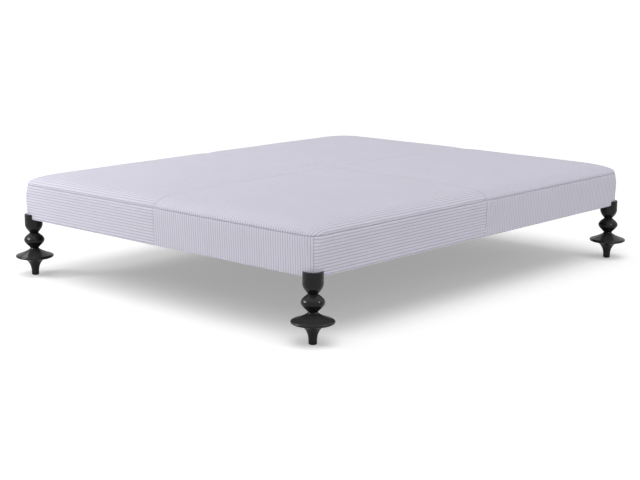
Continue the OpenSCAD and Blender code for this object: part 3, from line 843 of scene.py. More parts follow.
def fade(distance: float, reach: float) -> float:
    """A soft falling off, from 1 at no distance to almost 0 at the reach."""
    return math.exp(-((distance / reach) ** 2) * FADE_POWER)


class Seed(Enum):
    """Where each slow noise is taken, so that no two uses show the same lumps."""

    SEAM_DRIFT = 3.0
    CROWN_BILLOW = 5.0
    CROWN_PUCKER = 11.0
    BAND_PUCKER = 17.0
    BAND_BILLOW = 23.0
    DUST_COVER = 31.0
    WRAP = 41.0
    FOAM = 47.0
    HESSIAN = 53.0


def sway(place: Vector, size: float, seed: Seed) -> float:
    """Smooth noise between about -1 and 1, whose lumps are of the given size."""
    return noise.noise(place / size + Vector((seed.value, seed.value * SEED_SKEW, -seed.value)))


class Face(Enum):
    """The two kinds of side of the box."""

    END = "end"
    LONG = "long"

    def outward(self, sign: int) -> Vector:
        """The direction that the side at one sign of its axis faces."""
        return Vector((sign, 0, 0)) if self is Face.END else Vector((0, sign, 0))


@dataclass(frozen=True)
class Ring:
    """A quarter of a level line round the box: a rounded corner between two half sides."""

    half_x: float
    half_y: float
    radius: float
    level: float

    def reach(self, face: Face) -> float:
        """The half side's straight run, up to where the corner starts."""
        return (self.half_y if face is Face.END else self.half_x) - self.radius

    def length(self, face: Face) -> float:
        """The run from a side's middle to the middle of the corner."""
        return self.reach(face) + self.radius * math.pi / 4

    def turn(self, angle: float) -> Vector:
        """The point of the corner at an angle from the X axis."""
        x, y = self.half_x - self.radius, self.half_y - self.radius
        return Vector((x + self.radius * math.cos(angle), y + self.radius * math.sin(angle), self.level))

    def angle(self, face: Face, run: float) -> float:
        """The corner's angle from the X axis at a run past the straight part."""
        past = (run - self.reach(face)) / self.radius if self.radius else 0.0
        return past if face is Face.END else QUARTER_TURN - past

    def point(self, face: Face, run: float) -> Vector:
        """The point at a run from a side's middle towards the corner.

        Args:
            face: the side.
            run: the distance along the ring.

        Returns:
            The place in the back right quarter.
        """
        if run <= self.reach(face) or not self.radius:
            place = (self.half_x, run) if face is Face.END else (run, self.half_y)
            return Vector((*place, self.level))
        return self.turn(self.angle(face, run))


# The cover


@dataclass(frozen=True)
class BoxShape:
    """The outer shape of the upholstered box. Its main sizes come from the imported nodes."""

    half_x: float
    half_y: float
    underside: float
    seam: float
    corner_radius: float = 0.03
    seam_corner: float = 0.05
    corner_rise: float = 0.05
    roll_inset: float = 0.0015
    roll_width: float = 0.07
    roll_rise: float = 0.0295
    roll_belly: float = 0.004
    dome_height: float = 0.0132
    dome_reach: float = 0.48
    corner_growth: float = 1.3
    corner_fade: float = 4.0
    edge_step: float = 0.25
    groove_depth: float = 0.0038
    groove_half: float = 0.001
    lip_reach: float = 0.02
    drift: float = 0.0008
    drift_size: float = 0.12
    side_tuck: float = 0.004
    hem_inset: float = 0.0217
    valley: float = 0.0024
    valley_width: float = 0.07

    @classmethod
    def from_frame(cls) -> BoxShape:
        """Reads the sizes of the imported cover.

        Returns:
            The shape.
        """
        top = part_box("top_back_right")[1]
        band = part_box("band_right_back")[1]
        return cls(top.x, top.y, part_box("dust_cover")[0].z, band.z + cls.groove_half)

    def corner(self, level: float) -> float:
        """The radius in plan of the sides' corners, which open out below the seam."""
        opened = eased(1 - (self.seam - level) / self.corner_rise)
        return self.corner_radius + (self.seam_corner - self.corner_radius) * opened

    def dome(self, place: Vector) -> float:
        """The crown's rise above the roll.

        Args:
            place: a place in plan.

        Returns:
            The rise there.
        """
        rise = self.dome_height
        for half, along in ((self.half_x, place.x), (self.half_y, place.y)):
            depth = clamped((half - abs(along)) / self.dome_reach)
            rise *= 1 - (1 - depth) ** 2
        return rise

    def sunk(self, place: Vector) -> float:
        """How far the top's middle seams pull the cloth and the wrap down at a place."""
        return self.valley * fade(min(abs(place.x), abs(place.y)), self.valley_width)

    def roll_ring(self, angle: float, depth: float) -> Ring:
        """The level line of the rolled edge.

        Args:
            angle: the angle up the roll, from its fullest line.
            depth: the layer's depth under the cloth's face.

        Returns:
            The ring.
        """
        out = self.roll_width * (1 - math.cos(angle))
        inward = depth * math.cos(angle)
        inset = self.roll_inset + out + inward
        return Ring(self.half_x - inset, self.half_y - inset,
                    self.seam_corner + self.corner_growth * out - inward,
                    self.seam + self.roll_belly + (self.roll_rise - depth) * math.sin(angle))

    def lip_ring(self, angle: float) -> Ring:
        """The level line of the cloth's turn into the groove.

        Args:
            angle: the angle down the turn, from the roll's fullest line.

        Returns:
            The ring.
        """
        inward = self.roll_inset + (self.groove_depth - self.roll_inset) * (1 - math.cos(angle))
        drop = (self.roll_belly - self.groove_half) * math.sin(angle)
        return Ring(self.half_x - inward, self.half_y - inward, self.seam_corner - inward,
                    self.seam + self.roll_belly - drop)

    def crown_rings(self, roll_steps: int, flat_steps: int, depth: float = 0.0,
                    lip_steps: int = 0) -> list[Ring]:
        """The rings of a crowned layer from its lowest edge to the middle.

        Args:
            roll_steps: steps over the rolled edge.
            flat_steps: steps from the roll to the middle.
            depth: the layer's depth under the cloth's face.
            lip_steps: steps of the turn into the groove.

        Returns:
            The rings.
        """
        rings = [self.lip_ring(QUARTER_TURN * (1 - i / lip_steps)) for i in range(lip_steps)]
        rings += [self.roll_ring(QUARTER_TURN * i / roll_steps, depth) for i in range(roll_steps + 1)]
        top = rings[-1]
        for share in graded(flat_steps, self.edge_step)[1:]:
            left = 1 - share
            corner = top.radius * max(1 - self.corner_fade * share, 0.0)
            rings.append(Ring(top.half_x * left, top.half_y * left, corner, top.level))
        return rings

    def seam_drift(self, place: Vector) -> float:
        """How far the seam strays up or down where a hand sewed it."""
        return self.drift * sway(Vector((place.x, place.y, 0)), self.drift_size, Seed.SEAM_DRIFT)


@dataclass
class CrownSheet:
    """A quarter of a crowned layer, laid out on a grid whose lines follow the rings."""

    shape: BoxShape
    rings: list[Ring]
    roll_count: int
    ease: float = 0.25
    cloth_lines: list[Pair] = field(init=False)

    def __post_init__(self) -> None:
        """Works out where each grid line lies in flat cloth, from the middle lines out."""
        top = self.rings[self.roll_count]
        self.cloth_lines = []
        for number, ring in enumerate(self.rings):
            grown = self.unrolled(number, 0.0) if number < self.roll_count else 0.0
            at_x, at_y = (top.half_x, top.half_y) if grown else (ring.half_x, ring.half_y)
            self.cloth_lines.append((at_x + grown, at_y + grown))

    def unrolled(self, number: int, angle: float) -> float:
        """Measures the cloth from the top of the roll down to a ring.

        Args:
            number: the ring's number.
            angle: the corner's angle along which it is measured.

        Returns:
            The cloth's length.
        """
        out = Vector((math.cos(angle), math.sin(angle), 0))
        total = 0.0
        for upper, lower in zip(self.rings[self.roll_count:number:-1], self.rings[self.roll_count - 1::-1]):
            step = lower.turn(angle) - upper.turn(angle)
            total += math.hypot(step.dot(out), step.z)
        return total

    def place(self, across: int, along: int) -> tuple[Vector, Pair]:
        """Finds a grid point on the surface and in the flat cloth.

        Args:
            across: the number of the grid line along X's ring, from the edge.
            along: the number of the grid line along Y's ring, from the edge.

        Returns:
            The point in the back right quarter, and its place in the cloth.
        """
        face = Face.END if across <= along else Face.LONG
        number, other = min(across, along), max(across, along)
        ring = self.rings[number]
        which = 1 if face is Face.END else 0
        nominal, whole = self.cloth_lines[other][which], self.cloth_lines[number][which]
        width = min(self.ease, whole)
        past = max(nominal - (whole - width), 0.0) / width if width else 0.0
        run = nominal - (whole - ring.length(face)) * past ** 2
        point = ring.point(face, run)
        flat = (point.x, point.y)
        if number < self.roll_count:
            flat = self.flattened(face, ring, number, run)
        point.z += self.shape.dome(point) * clamped((ring.level - self.shape.seam) / self.shape.roll_rise)
        return point, flat

    def flattened(self, face: Face, ring: Ring, number: int, run: float) -> Pair:
        """The place in flat cloth of a point on the rolled edge.

        Args:
            face: the side of the box.
            ring: the point's ring.
            number: the ring's number.
            run: the point's run along it.

        Returns:
            The place in cloth.
        """
        top = self.rings[self.roll_count]
        if run <= ring.reach(face):
            edge = self.cloth_lines[number][0 if face is Face.END else 1]
            return (edge, run) if face is Face.END else (run, edge)
        angle = ring.angle(face, run)
        out = Vector((math.cos(angle), math.sin(angle), 0))
        side = Vector((-out.y, out.x, 0))
        start = top.turn(angle)
        shift = (ring.turn(angle) - start).dot(side)
        spread = start + out * self.unrolled(number, angle) + side * shift
        return spread.x, spread.y

    def build(self, signs: Signs) -> tuple[bmesh.types.BMesh, dict[int, Pair]]:
        """Lays the sheet over one quarter of the box.

        Args:
            signs: the quarter's signs along X and Y.

        Returns:
            The mesh, and the place in the cloth of each vertex by its index.
        """
        count = len(self.rings) - 1
        mesh = bmesh.new()
        bmesh.ops.create_grid(mesh, x_segments=count, y_segments=count, size=1.0)
        mesh.verts.index_update()
        cloth = {}
        for vertex in mesh.verts:
            across = round((1 - vertex.co.x) / 2 * count)
            along = round((1 - vertex.co.y) / 2 * count)
            vertex.co, cloth[vertex.index] = self.place(across, along)
        bmesh.ops.scale(mesh, vec=(*signs, 1), verts=mesh.verts)
        turn_towards(mesh, Vector((0, 0, 1)))
        return mesh, cloth


def write_cloth(mesh: bmesh.types.BMesh, cloth: dict[int, Pair]) -> None:
    """Stores each vertex's place in the cloth as the mesh's UV map.

    Args:
        mesh: the mesh.
        cloth: the place in metres of each vertex, by its index.
    """
    layer = mesh.loops.layers.uv.new("UVMap")
    for face in mesh.faces:
        for loop in face.loops:
            loop[layer].uv = cloth[loop.vert.index]


@dataclass
class CrownCover:
    """The four striped quarters of the top, sewn along the box's middle lines."""

    shape: BoxShape
    roll_steps: int = 16
    lip_steps: int = 6
    flat_steps: int = 84
    cloth_thickness: float = 0.002
    stripe_shift: float = 0.0037
    seam_dip: float = 0.0011
    seam_width: float = 0.005
    pucker: float = 0.0006
    pucker_size: float = 0.035
    pucker_reach: float = 0.045
    edge_pucker: float = 0.7
    billow: float = 0.0012
    billow_size: float = 0.24

    def relief(self, place: Vector) -> float:
        """How far the cloth stands out or sinks.

        Args:
            place: a place on the smooth crown.

        Returns:
            The relief there in metres.
        """
        from_seam = min(abs(place.x), abs(place.y))
        from_edge = max(place.z - self.shape.seam, 0.0)
        round_seam = max(1 - from_seam / self.seam_width, 0.0)
        depth = self.seam_dip * (1 - math.sqrt(1 - round_seam ** 2)) + self.shape.sunk(place)
        near_edge = fade(from_edge, self.pucker_reach) * self.edge_pucker
        nearness = max(fade(from_seam, self.pucker_reach), near_edge)
        ripple = self.pucker * nearness * sway(place, self.pucker_size, Seed.CROWN_PUCKER)
        return ripple - depth + self.billow * sway(place, self.billow_size, Seed.CROWN_BILLOW)

    def build(self) -> None:
        """Makes the four quarters. Stripes of neighbours run at right angles."""
        rings = self.shape.crown_rings(self.roll_steps, self.flat_steps, lip_steps=self.lip_steps)
        sheet = CrownSheet(self.shape, rings, self.roll_steps + self.lip_steps)
        for name, signs in QUARTERS.items():
            mesh, cloth = sheet.build(signs)
            along_x = signs[0] * signs[1] > 0
            shift = self.stripe_shift * (signs[0] + 2 * signs[1])
            cloth = {i: (u, v + shift) if along_x else (v, u + shift) for i, (u, v) in cloth.items()}
            moves = [(vertex, vertex.normal * self.relief(vertex.co)) for vertex in mesh.verts]
            for vertex, move in moves:
                lip = fade(vertex.co.z - self.shape.seam, self.shape.lip_reach)
                vertex.co += move + Vector((0, 0, self.shape.seam_drift(vertex.co) * lip))
            write_cloth(mesh, cloth)
            piece = new_piece(f"crown_{name}", mesh, CLOTH, f"top_{name}")
            thicken(piece, self.cloth_thickness)


@dataclass
class SideBands:
    """The eight striped half bands round the box, two to a side."""

    shape: BoxShape
    cloth_thickness: float = 0.002
    hem_edge: float = 0.005
    hem_steps: int = 5
    straight: float = 0.0207
    face_steps: int = 14
    turn_height: float = 0.006
    turn_steps: int = 6
    run_steps: int = 110
    end_step: float = 0.15
    corner_steps: int = 8
    corner_ease: float = 0.12
    socket_ease: float = 0.01
    dip: float = 0.0014
    dip_width: float = 0.006
    pucker: float = 0.0007
    pucker_size: float = 0.028
    pucker_reach: float = 0.035
    hem_pucker: float = 0.6
    billow: float = 0.0008
    billow_size: float = 0.16

    def section(self) -> list[Pair]:
        """Draws the cloth's face from the hem under the box up into the groove.

        Returns:
            Inset and height pairs.
        """
        shape = self.shape
        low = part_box("band_right_back")[0].z
        turn = shape.seam - shape.groove_half - self.turn_height
        rows = [(shape.hem_inset, low), ((shape.hem_inset + shape.side_tuck + self.hem_edge) / 2, low)]
        for i in range(self.hem_steps + 1):
            angle = QUARTER_TURN * i / self.hem_steps
            rows.append((shape.side_tuck + self.hem_edge * (1 - math.sin(angle)),
                         low + self.hem_edge * (1 - math.cos(angle))))
        rise = shape.underside + self.straight
        for i in range(self.face_steps + 1):
            u = i / self.face_steps
            rows.append((shape.side_tuck * (1 + math.cos(math.pi * u)) / 2, rise + (turn - rise) * u))
        for i in range(1, self.turn_steps + 1):
            angle = QUARTER_TURN * i / self.turn_steps
            rows.append((shape.groove_depth * (1 - math.cos(angle)),
                         turn + self.turn_height * math.sin(angle)))
        return rows

    def runs(self, face: Face) -> list[float]:
        """Spreads the grid's lines along the outermost line.

        Args:
            face: the side.

        Returns:
            Their runs, from the face's middle to the middle of the corner.
        """
        ring = Ring(self.shape.half_x, self.shape.half_y, self.shape.corner_radius, 0.0)
        straight = ring.reach(face)
        arc = ring.length(face) - straight
        runs = [straight * share for share in graded(self.run_steps, self.end_step)]
        return runs + [straight + arc * (i + 1) / self.corner_steps for i in range(self.corner_steps)]

    def spot(self, face: Face, inset: float, level: float, run: float) -> Vector:
        """Finds a point of a side in the back right quarter.

        Args:
            face: the side.
            inset: how far in from the outermost line it lies.
            level: its height.
            run: its run along the outermost line.

        Returns:
            The point.
        """
        shape = self.shape
        crisp = Ring(shape.half_x - inset, shape.half_y - inset, shape.corner_radius - inset, level)
        ring = Ring(crisp.half_x, crisp.half_y, shape.corner(level) - inset, level)
        past_straight = max(run - crisp.reach(face), 0.0)
        run -= past_straight * inset / shape.corner_radius
        short = crisp.length(face) - ring.length(face)
        near_end = max(1 - (crisp.length(face) - run) / self.corner_ease, 0.0)
        return ring.point(face, run - short * near_end ** 2)

    def relief(self, place: Vector, run: float, last: float) -> float:
        """How far the cloth stands out.

        Args:
            place: a place on the smooth band.
            run: its run along the half band.
            last: the run where the half band ends.

        Returns:
            The relief there in metres.
        """
        from_end = min(run, last - run)
        round_end = max(1 - from_end / self.dip_width, 0.0)
        depth = self.dip * (1 - math.sqrt(1 - round_end ** 2))
        near_seam = fade(max(self.shape.seam - place.z, 0.0), self.pucker_reach)
        near_hem = fade(max(place.z - self.shape.underside, 0.0), self.pucker_reach) * self.hem_pucker
        ripple = self.pucker * max(near_seam, near_hem) * sway(place, self.pucker_size, Seed.BAND_PUCKER)
        return ripple - depth + self.billow * sway(place, self.billow_size, Seed.BAND_BILLOW)

    def half_band(self, name: str, face: Face, signs: Signs, upright: bool) -> None:
        """Makes one half band.

        Args:
            name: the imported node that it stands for.
            face: the kind of side that it covers.
            signs: the quarter's signs along X and Y.
            upright: whether its stripes stand up.
        """
        shape, section, runs = self.shape, self.section(), self.runs(face)
        across, along = len(section) - 1, len(runs) - 1
        mesh = bmesh.new()
        bmesh.ops.create_grid(mesh, x_segments=along, y_segments=across, size=1.0)
        mesh.verts.index_update()
        heights = [0.0]
        for (inset, level), (next_inset, next_level) in zip(section, section[1:]):
            heights.append(heights[-1] + math.hypot(next_inset - inset, next_level - level))
        cloth, run_of = {}, {}
        for vertex in mesh.verts:
            i = round((vertex.co.x + 1) / 2 * along)
            j = round((vertex.co.y + 1) / 2 * across)
            vertex.co = self.spot(face, *section[j], runs[i])
            run_of[vertex.index] = runs[i]
            cloth[vertex.index] = (heights[j], runs[i]) if upright else (runs[i], heights[j])
        bmesh.ops.scale(mesh, vec=(*signs, 1), verts=mesh.verts)
        turn_towards(mesh, face.outward(signs[0] if face is Face.END else signs[1]))
        moves = [(v, v.normal * self.relief(v.co, run_of[v.index], runs[-1])) for v in mesh.verts]
        for vertex, move in moves:
            lip = fade(shape.seam - vertex.co.z, shape.lip_reach)
            free = clamped((vertex.co.z - shape.underside - self.straight) / self.socket_ease)
            vertex.co += move * free + Vector((0, 0, shape.seam_drift(vertex.co) * lip))
        write_cloth(mesh, cloth)
        piece = new_piece(f"{name}_cloth", mesh, CLOTH, name)
        thicken(piece, self.cloth_thickness)

    def build(self) -> None:
        """Makes the eight half bands. Upright stripes meet level ones at each seam."""
        for name, signs in QUARTERS.items():
            y_name, x_name = name.split("_")
            upright_end = signs[0] * signs[1] > 0
            self.half_band(f"band_{x_name}_{y_name}", Face.END, signs, upright_end)
            self.half_band(f"band_{y_name}_{x_name}", Face.LONG, signs, not upright_end)


@dataclass
class SeamTape:
    """The binding tape that shows at the bottom of the groove."""

    shape: BoxShape
    inset: float = 0.0039
    thickness: float = 0.0014
    corner_steps: int = 10
    shortest_side: float = 0.1
    side_cuts: int = 60

    def build(self) -> None:
        """Makes the tape as one band round the box, on edge."""
        low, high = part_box("seam_tape")
        ring = Ring(self.shape.half_x - self.inset, self.shape.half_y - self.inset,
                    self.shape.seam_corner - self.inset, low.z)
        mesh = bmesh.new()
        quarter = [ring.turn(QUARTER_TURN * i / self.corner_steps) for i in range(self.corner_steps + 1)]
        loop = []
        for signs, order in (((1, 1), 1), ((-1, 1), -1), ((-1, -1), 1), ((1, -1), -1)):
            loop += [mesh.verts.new((p.x * signs[0], p.y * signs[1], p.z)) for p in quarter[::order]]
        edges = [mesh.edges.new(pair) for pair in zip(loop, loop[1:] + loop[:1])]
        grown = bmesh.ops.extrude_edge_only(mesh, edges=edges)["geom"]
        risen = [item for item in grown if isinstance(item, bmesh.types.BMVert)]
        bmesh.ops.translate(mesh, verts=risen, vec=(0, 0, high.z - low.z))
        long_edges = [edge for edge in mesh.edges if edge.calc_length() > self.shortest_side]
        bmesh.ops.subdivide_edges(mesh, edges=long_edges, cuts=self.side_cuts, use_grid_fill=True)
        bmesh.ops.recalc_face_normals(mesh, faces=mesh.faces)
        for vertex in mesh.verts:
            vertex.co.z += self.shape.seam_drift(vertex.co)
        piece = new_piece("seam_tape_band", mesh, TAPE, "seam_tape")
        thicken(piece, self.thickness)


@dataclass
class DustCover:
    """The dark cloth tacked under the box."""

    cells: Cells = (60, 48)
    corner_cut: float = 0.014
    corner_steps: int = 6
    tacked_edge: float = 0.07
    sag: float = 0.004
    sag_rise: float = 3.0
    ripple: float = 0.25
    ripple_size: float = 0.2

    def build(self) -> None:
        """Makes the cover, slack between its tacked edges."""
        low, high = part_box("dust_cover")
        mesh = flat_grid(low, high, self.cells)
        corners = [v for v in mesh.verts if len(v.link_edges) == 2]
        round_off(mesh, corners, self.corner_cut, self.corner_steps, "VERTICES")
        for vertex in mesh.verts:
            slack = 1.0
            for along, reach in ((vertex.co.x, high.x), (vertex.co.y, high.y)):
                slack *= clamped((1 - abs(along) / (reach - self.tacked_edge)) * self.sag_rise)
            ripple = 1 + self.ripple * sway(vertex.co, self.ripple_size, Seed.DUST_COVER)
            vertex.co.z = high.z - self.sag * slack * ripple
        turn_towards(mesh, Vector((0, 0, -1)))
        piece = new_piece("dust_cover_cloth", mesh, DUST_CLOTH, "dust_cover")
        thicken(piece, high.z - low.z, 1.0)


# Padding and suspension


@dataclass
class Padding:
    """The foams, wrap and felt between the frame and the cover."""

    shape: BoxShape
    depth: float = 0.0126
    roll_steps: int = 10
    flat_steps: int = 36
    merge_gap: float = 1e-5
    crease: float = 40.0
    wrap_outer: float = 0.0023
    wrap_inner: float = 0.0118
    wrap_play: float = 0.0006
    wrap_lumps: float = 0.09
    foam_edge: float = 0.004
    foam_edge_steps: int = 3
    foam_corner: float = 0.03
    foam_corner_steps: int = 8
    foam_cuts: int = 12
    foam_play: float = 0.0003
    foam_lumps: float = 0.15
    end_band: float = 0.001
    felt_thickness: float = 0.006
    felt_gap: float = 0.0004
    felt_end: float = 0.0002
    felt_cells: Cells = (80, 8)

    def crowned(self, depth: float) -> bmesh.types.BMesh:
        """Makes a whole crowned sheet.

        Args:
            depth: its depth under the cover's face.

        Returns:
            The sheet.
        """
        rings = self.shape.crown_rings(self.roll_steps, self.flat_steps, depth)
        sheet = CrownSheet(self.shape, rings, self.roll_steps)
        whole = bmesh.new()
        for signs in QUARTERS.values():
            add_mesh(whole, sheet.build(signs)[0])
        bmesh.ops.remove_doubles(whole, verts=whole.verts, dist=self.merge_gap)
        whole.normal_update()
        return whole

    def wrap(self) -> None:
        """The fibre wrap, a soft layer right under the cover."""
        mesh = self.crowned(self.wrap_outer)
        for vertex in mesh.verts:
            play = self.wrap_play * (1 + sway(vertex.co, self.wrap_lumps, Seed.WRAP))
            vertex.co -= vertex.normal * (self.shape.sunk(vertex.co) + play)
        add_mesh(mesh, self.crowned(self.wrap_inner))
        bmesh.ops.bridge_loops(mesh, edges=[edge for edge in mesh.edges if edge.is_boundary])
        bmesh.ops.recalc_face_normals(mesh, faces=mesh.faces)
        new_piece("fibre_wrap_soft", mesh, FIBRE, "fibre_wrap")

    def crown(self) -> None:
        """The crowned foam, flat underneath."""
        mesh = self.crowned(self.depth)
        rim = [edge for edge in mesh.edges if edge.is_boundary]
        for vertex in {v for edge in rim for v in edge.verts}:
            vertex.co.z = self.shape.seam + self.shape.roll_belly
        bmesh.ops.holes_fill(mesh, edges=rim, sides=0)
        bmesh.ops.recalc_face_normals(mesh, faces=mesh.faces)
        piece = new_piece("crown_pad_soft", mesh, CROWN_FOAM, "crown_pad")
        piece.data.set_sharp_from_angle(angle=math.radians(self.crease))

    def block(self, node: str, finish: Finish, rounded: bool = False) -> None:
        """A cut block of foam in the space of its node.

        Args:
            node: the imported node.
            finish: the foam.
            rounded: whether its ends are cut round at the box's own corners.
        """
        low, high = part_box(node)
        mesh = bmesh.new()
        bmesh.ops.create_cube(mesh, size=1.0)
        bmesh.ops.scale(mesh, vec=high - low, verts=mesh.verts)
        bmesh.ops.translate(mesh, vec=(low + high) / 2, verts=mesh.verts)
        if rounded:
            outermost = max(abs(v.co.y) for v in mesh.verts) - self.end_band
            posts = [e for e in uprights(mesh) if all(abs(v.co.y) > outermost for v in e.verts)]
            round_off(mesh, posts, self.foam_corner, self.foam_corner_steps)
        bmesh.ops.subdivide_edges(mesh, edges=mesh.edges, cuts=self.foam_cuts, use_grid_fill=True)
        sharp = [e for e in mesh.edges if len(e.link_faces) == 2 and e.calc_face_angle() > 1]
        round_off(mesh, sharp, self.foam_edge, self.foam_edge_steps)
        mesh.normal_update()
        for vertex in mesh.verts:
            vertex.co -= vertex.normal * self.foam_play * (1 + sway(vertex.co, self.foam_lumps, Seed.FOAM))
        new_piece(f"{node}_soft", mesh, finish, node)

    def side_pad(self, name: str, face: Face, sign: int) -> None:
        """The felt on one side of the frame, from corner to corner.

        Args:
            name: the side's name.
            face: the kind of side.
            sign: its sign along its axis.
        """
        low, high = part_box(f"side_pad_{name}")
        inset = self.depth - self.felt_gap
        half_x, half_y = self.shape.half_x - inset, self.shape.half_y - inset
        mesh = bmesh.new()
        bmesh.ops.create_grid(mesh, x_segments=self.felt_cells[0], y_segments=self.felt_cells[1], size=1.0)
        for vertex in mesh.verts:
            height = low.z + (high.z - low.z) * (vertex.co.y + 1) / 2
            ring = Ring(half_x, half_y, self.shape.corner(height) - inset, height)
            run = vertex.co.x * (ring.length(face) - self.felt_end)
            point = ring.point(face, abs(run))
            if face is Face.END:
                vertex.co = Vector((sign * point.x, math.copysign(point.y, run), height))
            else:
                vertex.co = Vector((math.copysign(point.x, run), sign * point.y, height))
        turn_towards(mesh, face.outward(sign))
        piece = new_piece(f"side_pad_{name}_soft", mesh, FELT, f"side_pad_{name}")
        thicken(piece, self.felt_thickness, 1.0)

    def build(self) -> None:
        """Makes every padding layer from the frame outwards."""
        for side in ("front", "back", "left", "right"):
            self.block(f"edge_foam_{side}", EDGE_FOAM, side in ("front", "back"))
        self.block("foam_slab", SEAT_FOAM)
        self.crown()
        self.wrap()
        for name, face, sign in (("front", Face.LONG, -1), ("back", Face.LONG, 1),
                                 ("left", Face.END, -1), ("right", Face.END, 1)):
            self.side_pad(name, face, sign)


@dataclass
class Suspension:
    """The woven straps and the hessian over the frame."""

    pitch: float = 0.15
    strap_width: float = 0.06
    strap_cells: Cells = (160, 8)
    thickness: float = 0.0025
    landing: float = 0.024
    ramp: float = 0.03
    hessian_cells: Cells = (60, 48)
    hessian_share: float = 0.8
    hessian_play: float = 0.0001
    hessian_lumps: float = 0.05

    def straps(self, node: str, span: float, cross_span: float, turned: bool) -> None:
        """Makes one set of parallel straps, which pass over and under the other set.

        Args:
            node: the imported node.
            span: half the straps' free length.
            cross_span: half the width that they cover.
            turned: whether they run along Y.
        """
        low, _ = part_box(node)
        columns = self.places(span)
        cells_x, cells_y = self.strap_cells
        whole = bmesh.new()
        for number, centre in enumerate(self.places(cross_span)):
            strap = bmesh.ops.create_grid(whole, x_segments=cells_x, y_segments=cells_y, size=1.0)
            for vertex in strap["verts"]:
                along, across = vertex.co.x * (span + self.landing), vertex.co.y * self.strap_width / 2
                lift = 0.0
                for j, column in enumerate(columns):
                    over = (number + j + turned) % 2
                    beside = max(abs(along - column) - self.strap_width / 2, 0)
                    lift = max(lift, over * eased(1 - beside / self.ramp))
                place = (centre + across, along) if turned else (along, centre + across)
                vertex.co = Vector((*place, low.z + self.thickness * (1 + lift)))
        turn_towards(whole, Vector((0, 0, 1)))
        thicken(new_piece(f"{node}_straps", whole, JUTE, node), self.thickness)

    def places(self, span: float) -> list[float]:
        """The straps' places over a span, evenly spread."""
        count = max(2, math.floor(2 * span / self.pitch))
        return [span * ((2 * i + 1) / count - 1) for i in range(count)]

    def hessian(self) -> None:
        """Makes the hessian that lies on the straps."""
        low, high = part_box("hessian")
        mesh = flat_grid(low, high, self.hessian_cells)
        for vertex in mesh.verts:
            vertex.co.z = high.z - self.hessian_play * (1 + sway(vertex.co, self.hessian_lumps, Seed.HESSIAN))
        piece = new_piece("hessian_cloth", mesh, HESSIAN, "hessian")
        thicken(piece, (high.z - low.z) * self.hessian_share)

    def build(self) -> None:
        """Makes the straps and the hessian."""
        span_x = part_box("rail_right")[0].x
        span_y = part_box("rail_back")[0].y
        self.straps("webbing_long", span_x, span_y, False)
        self.straps("webbing_cross", span_y, span_x, True)
        self.hessian()


# Legs


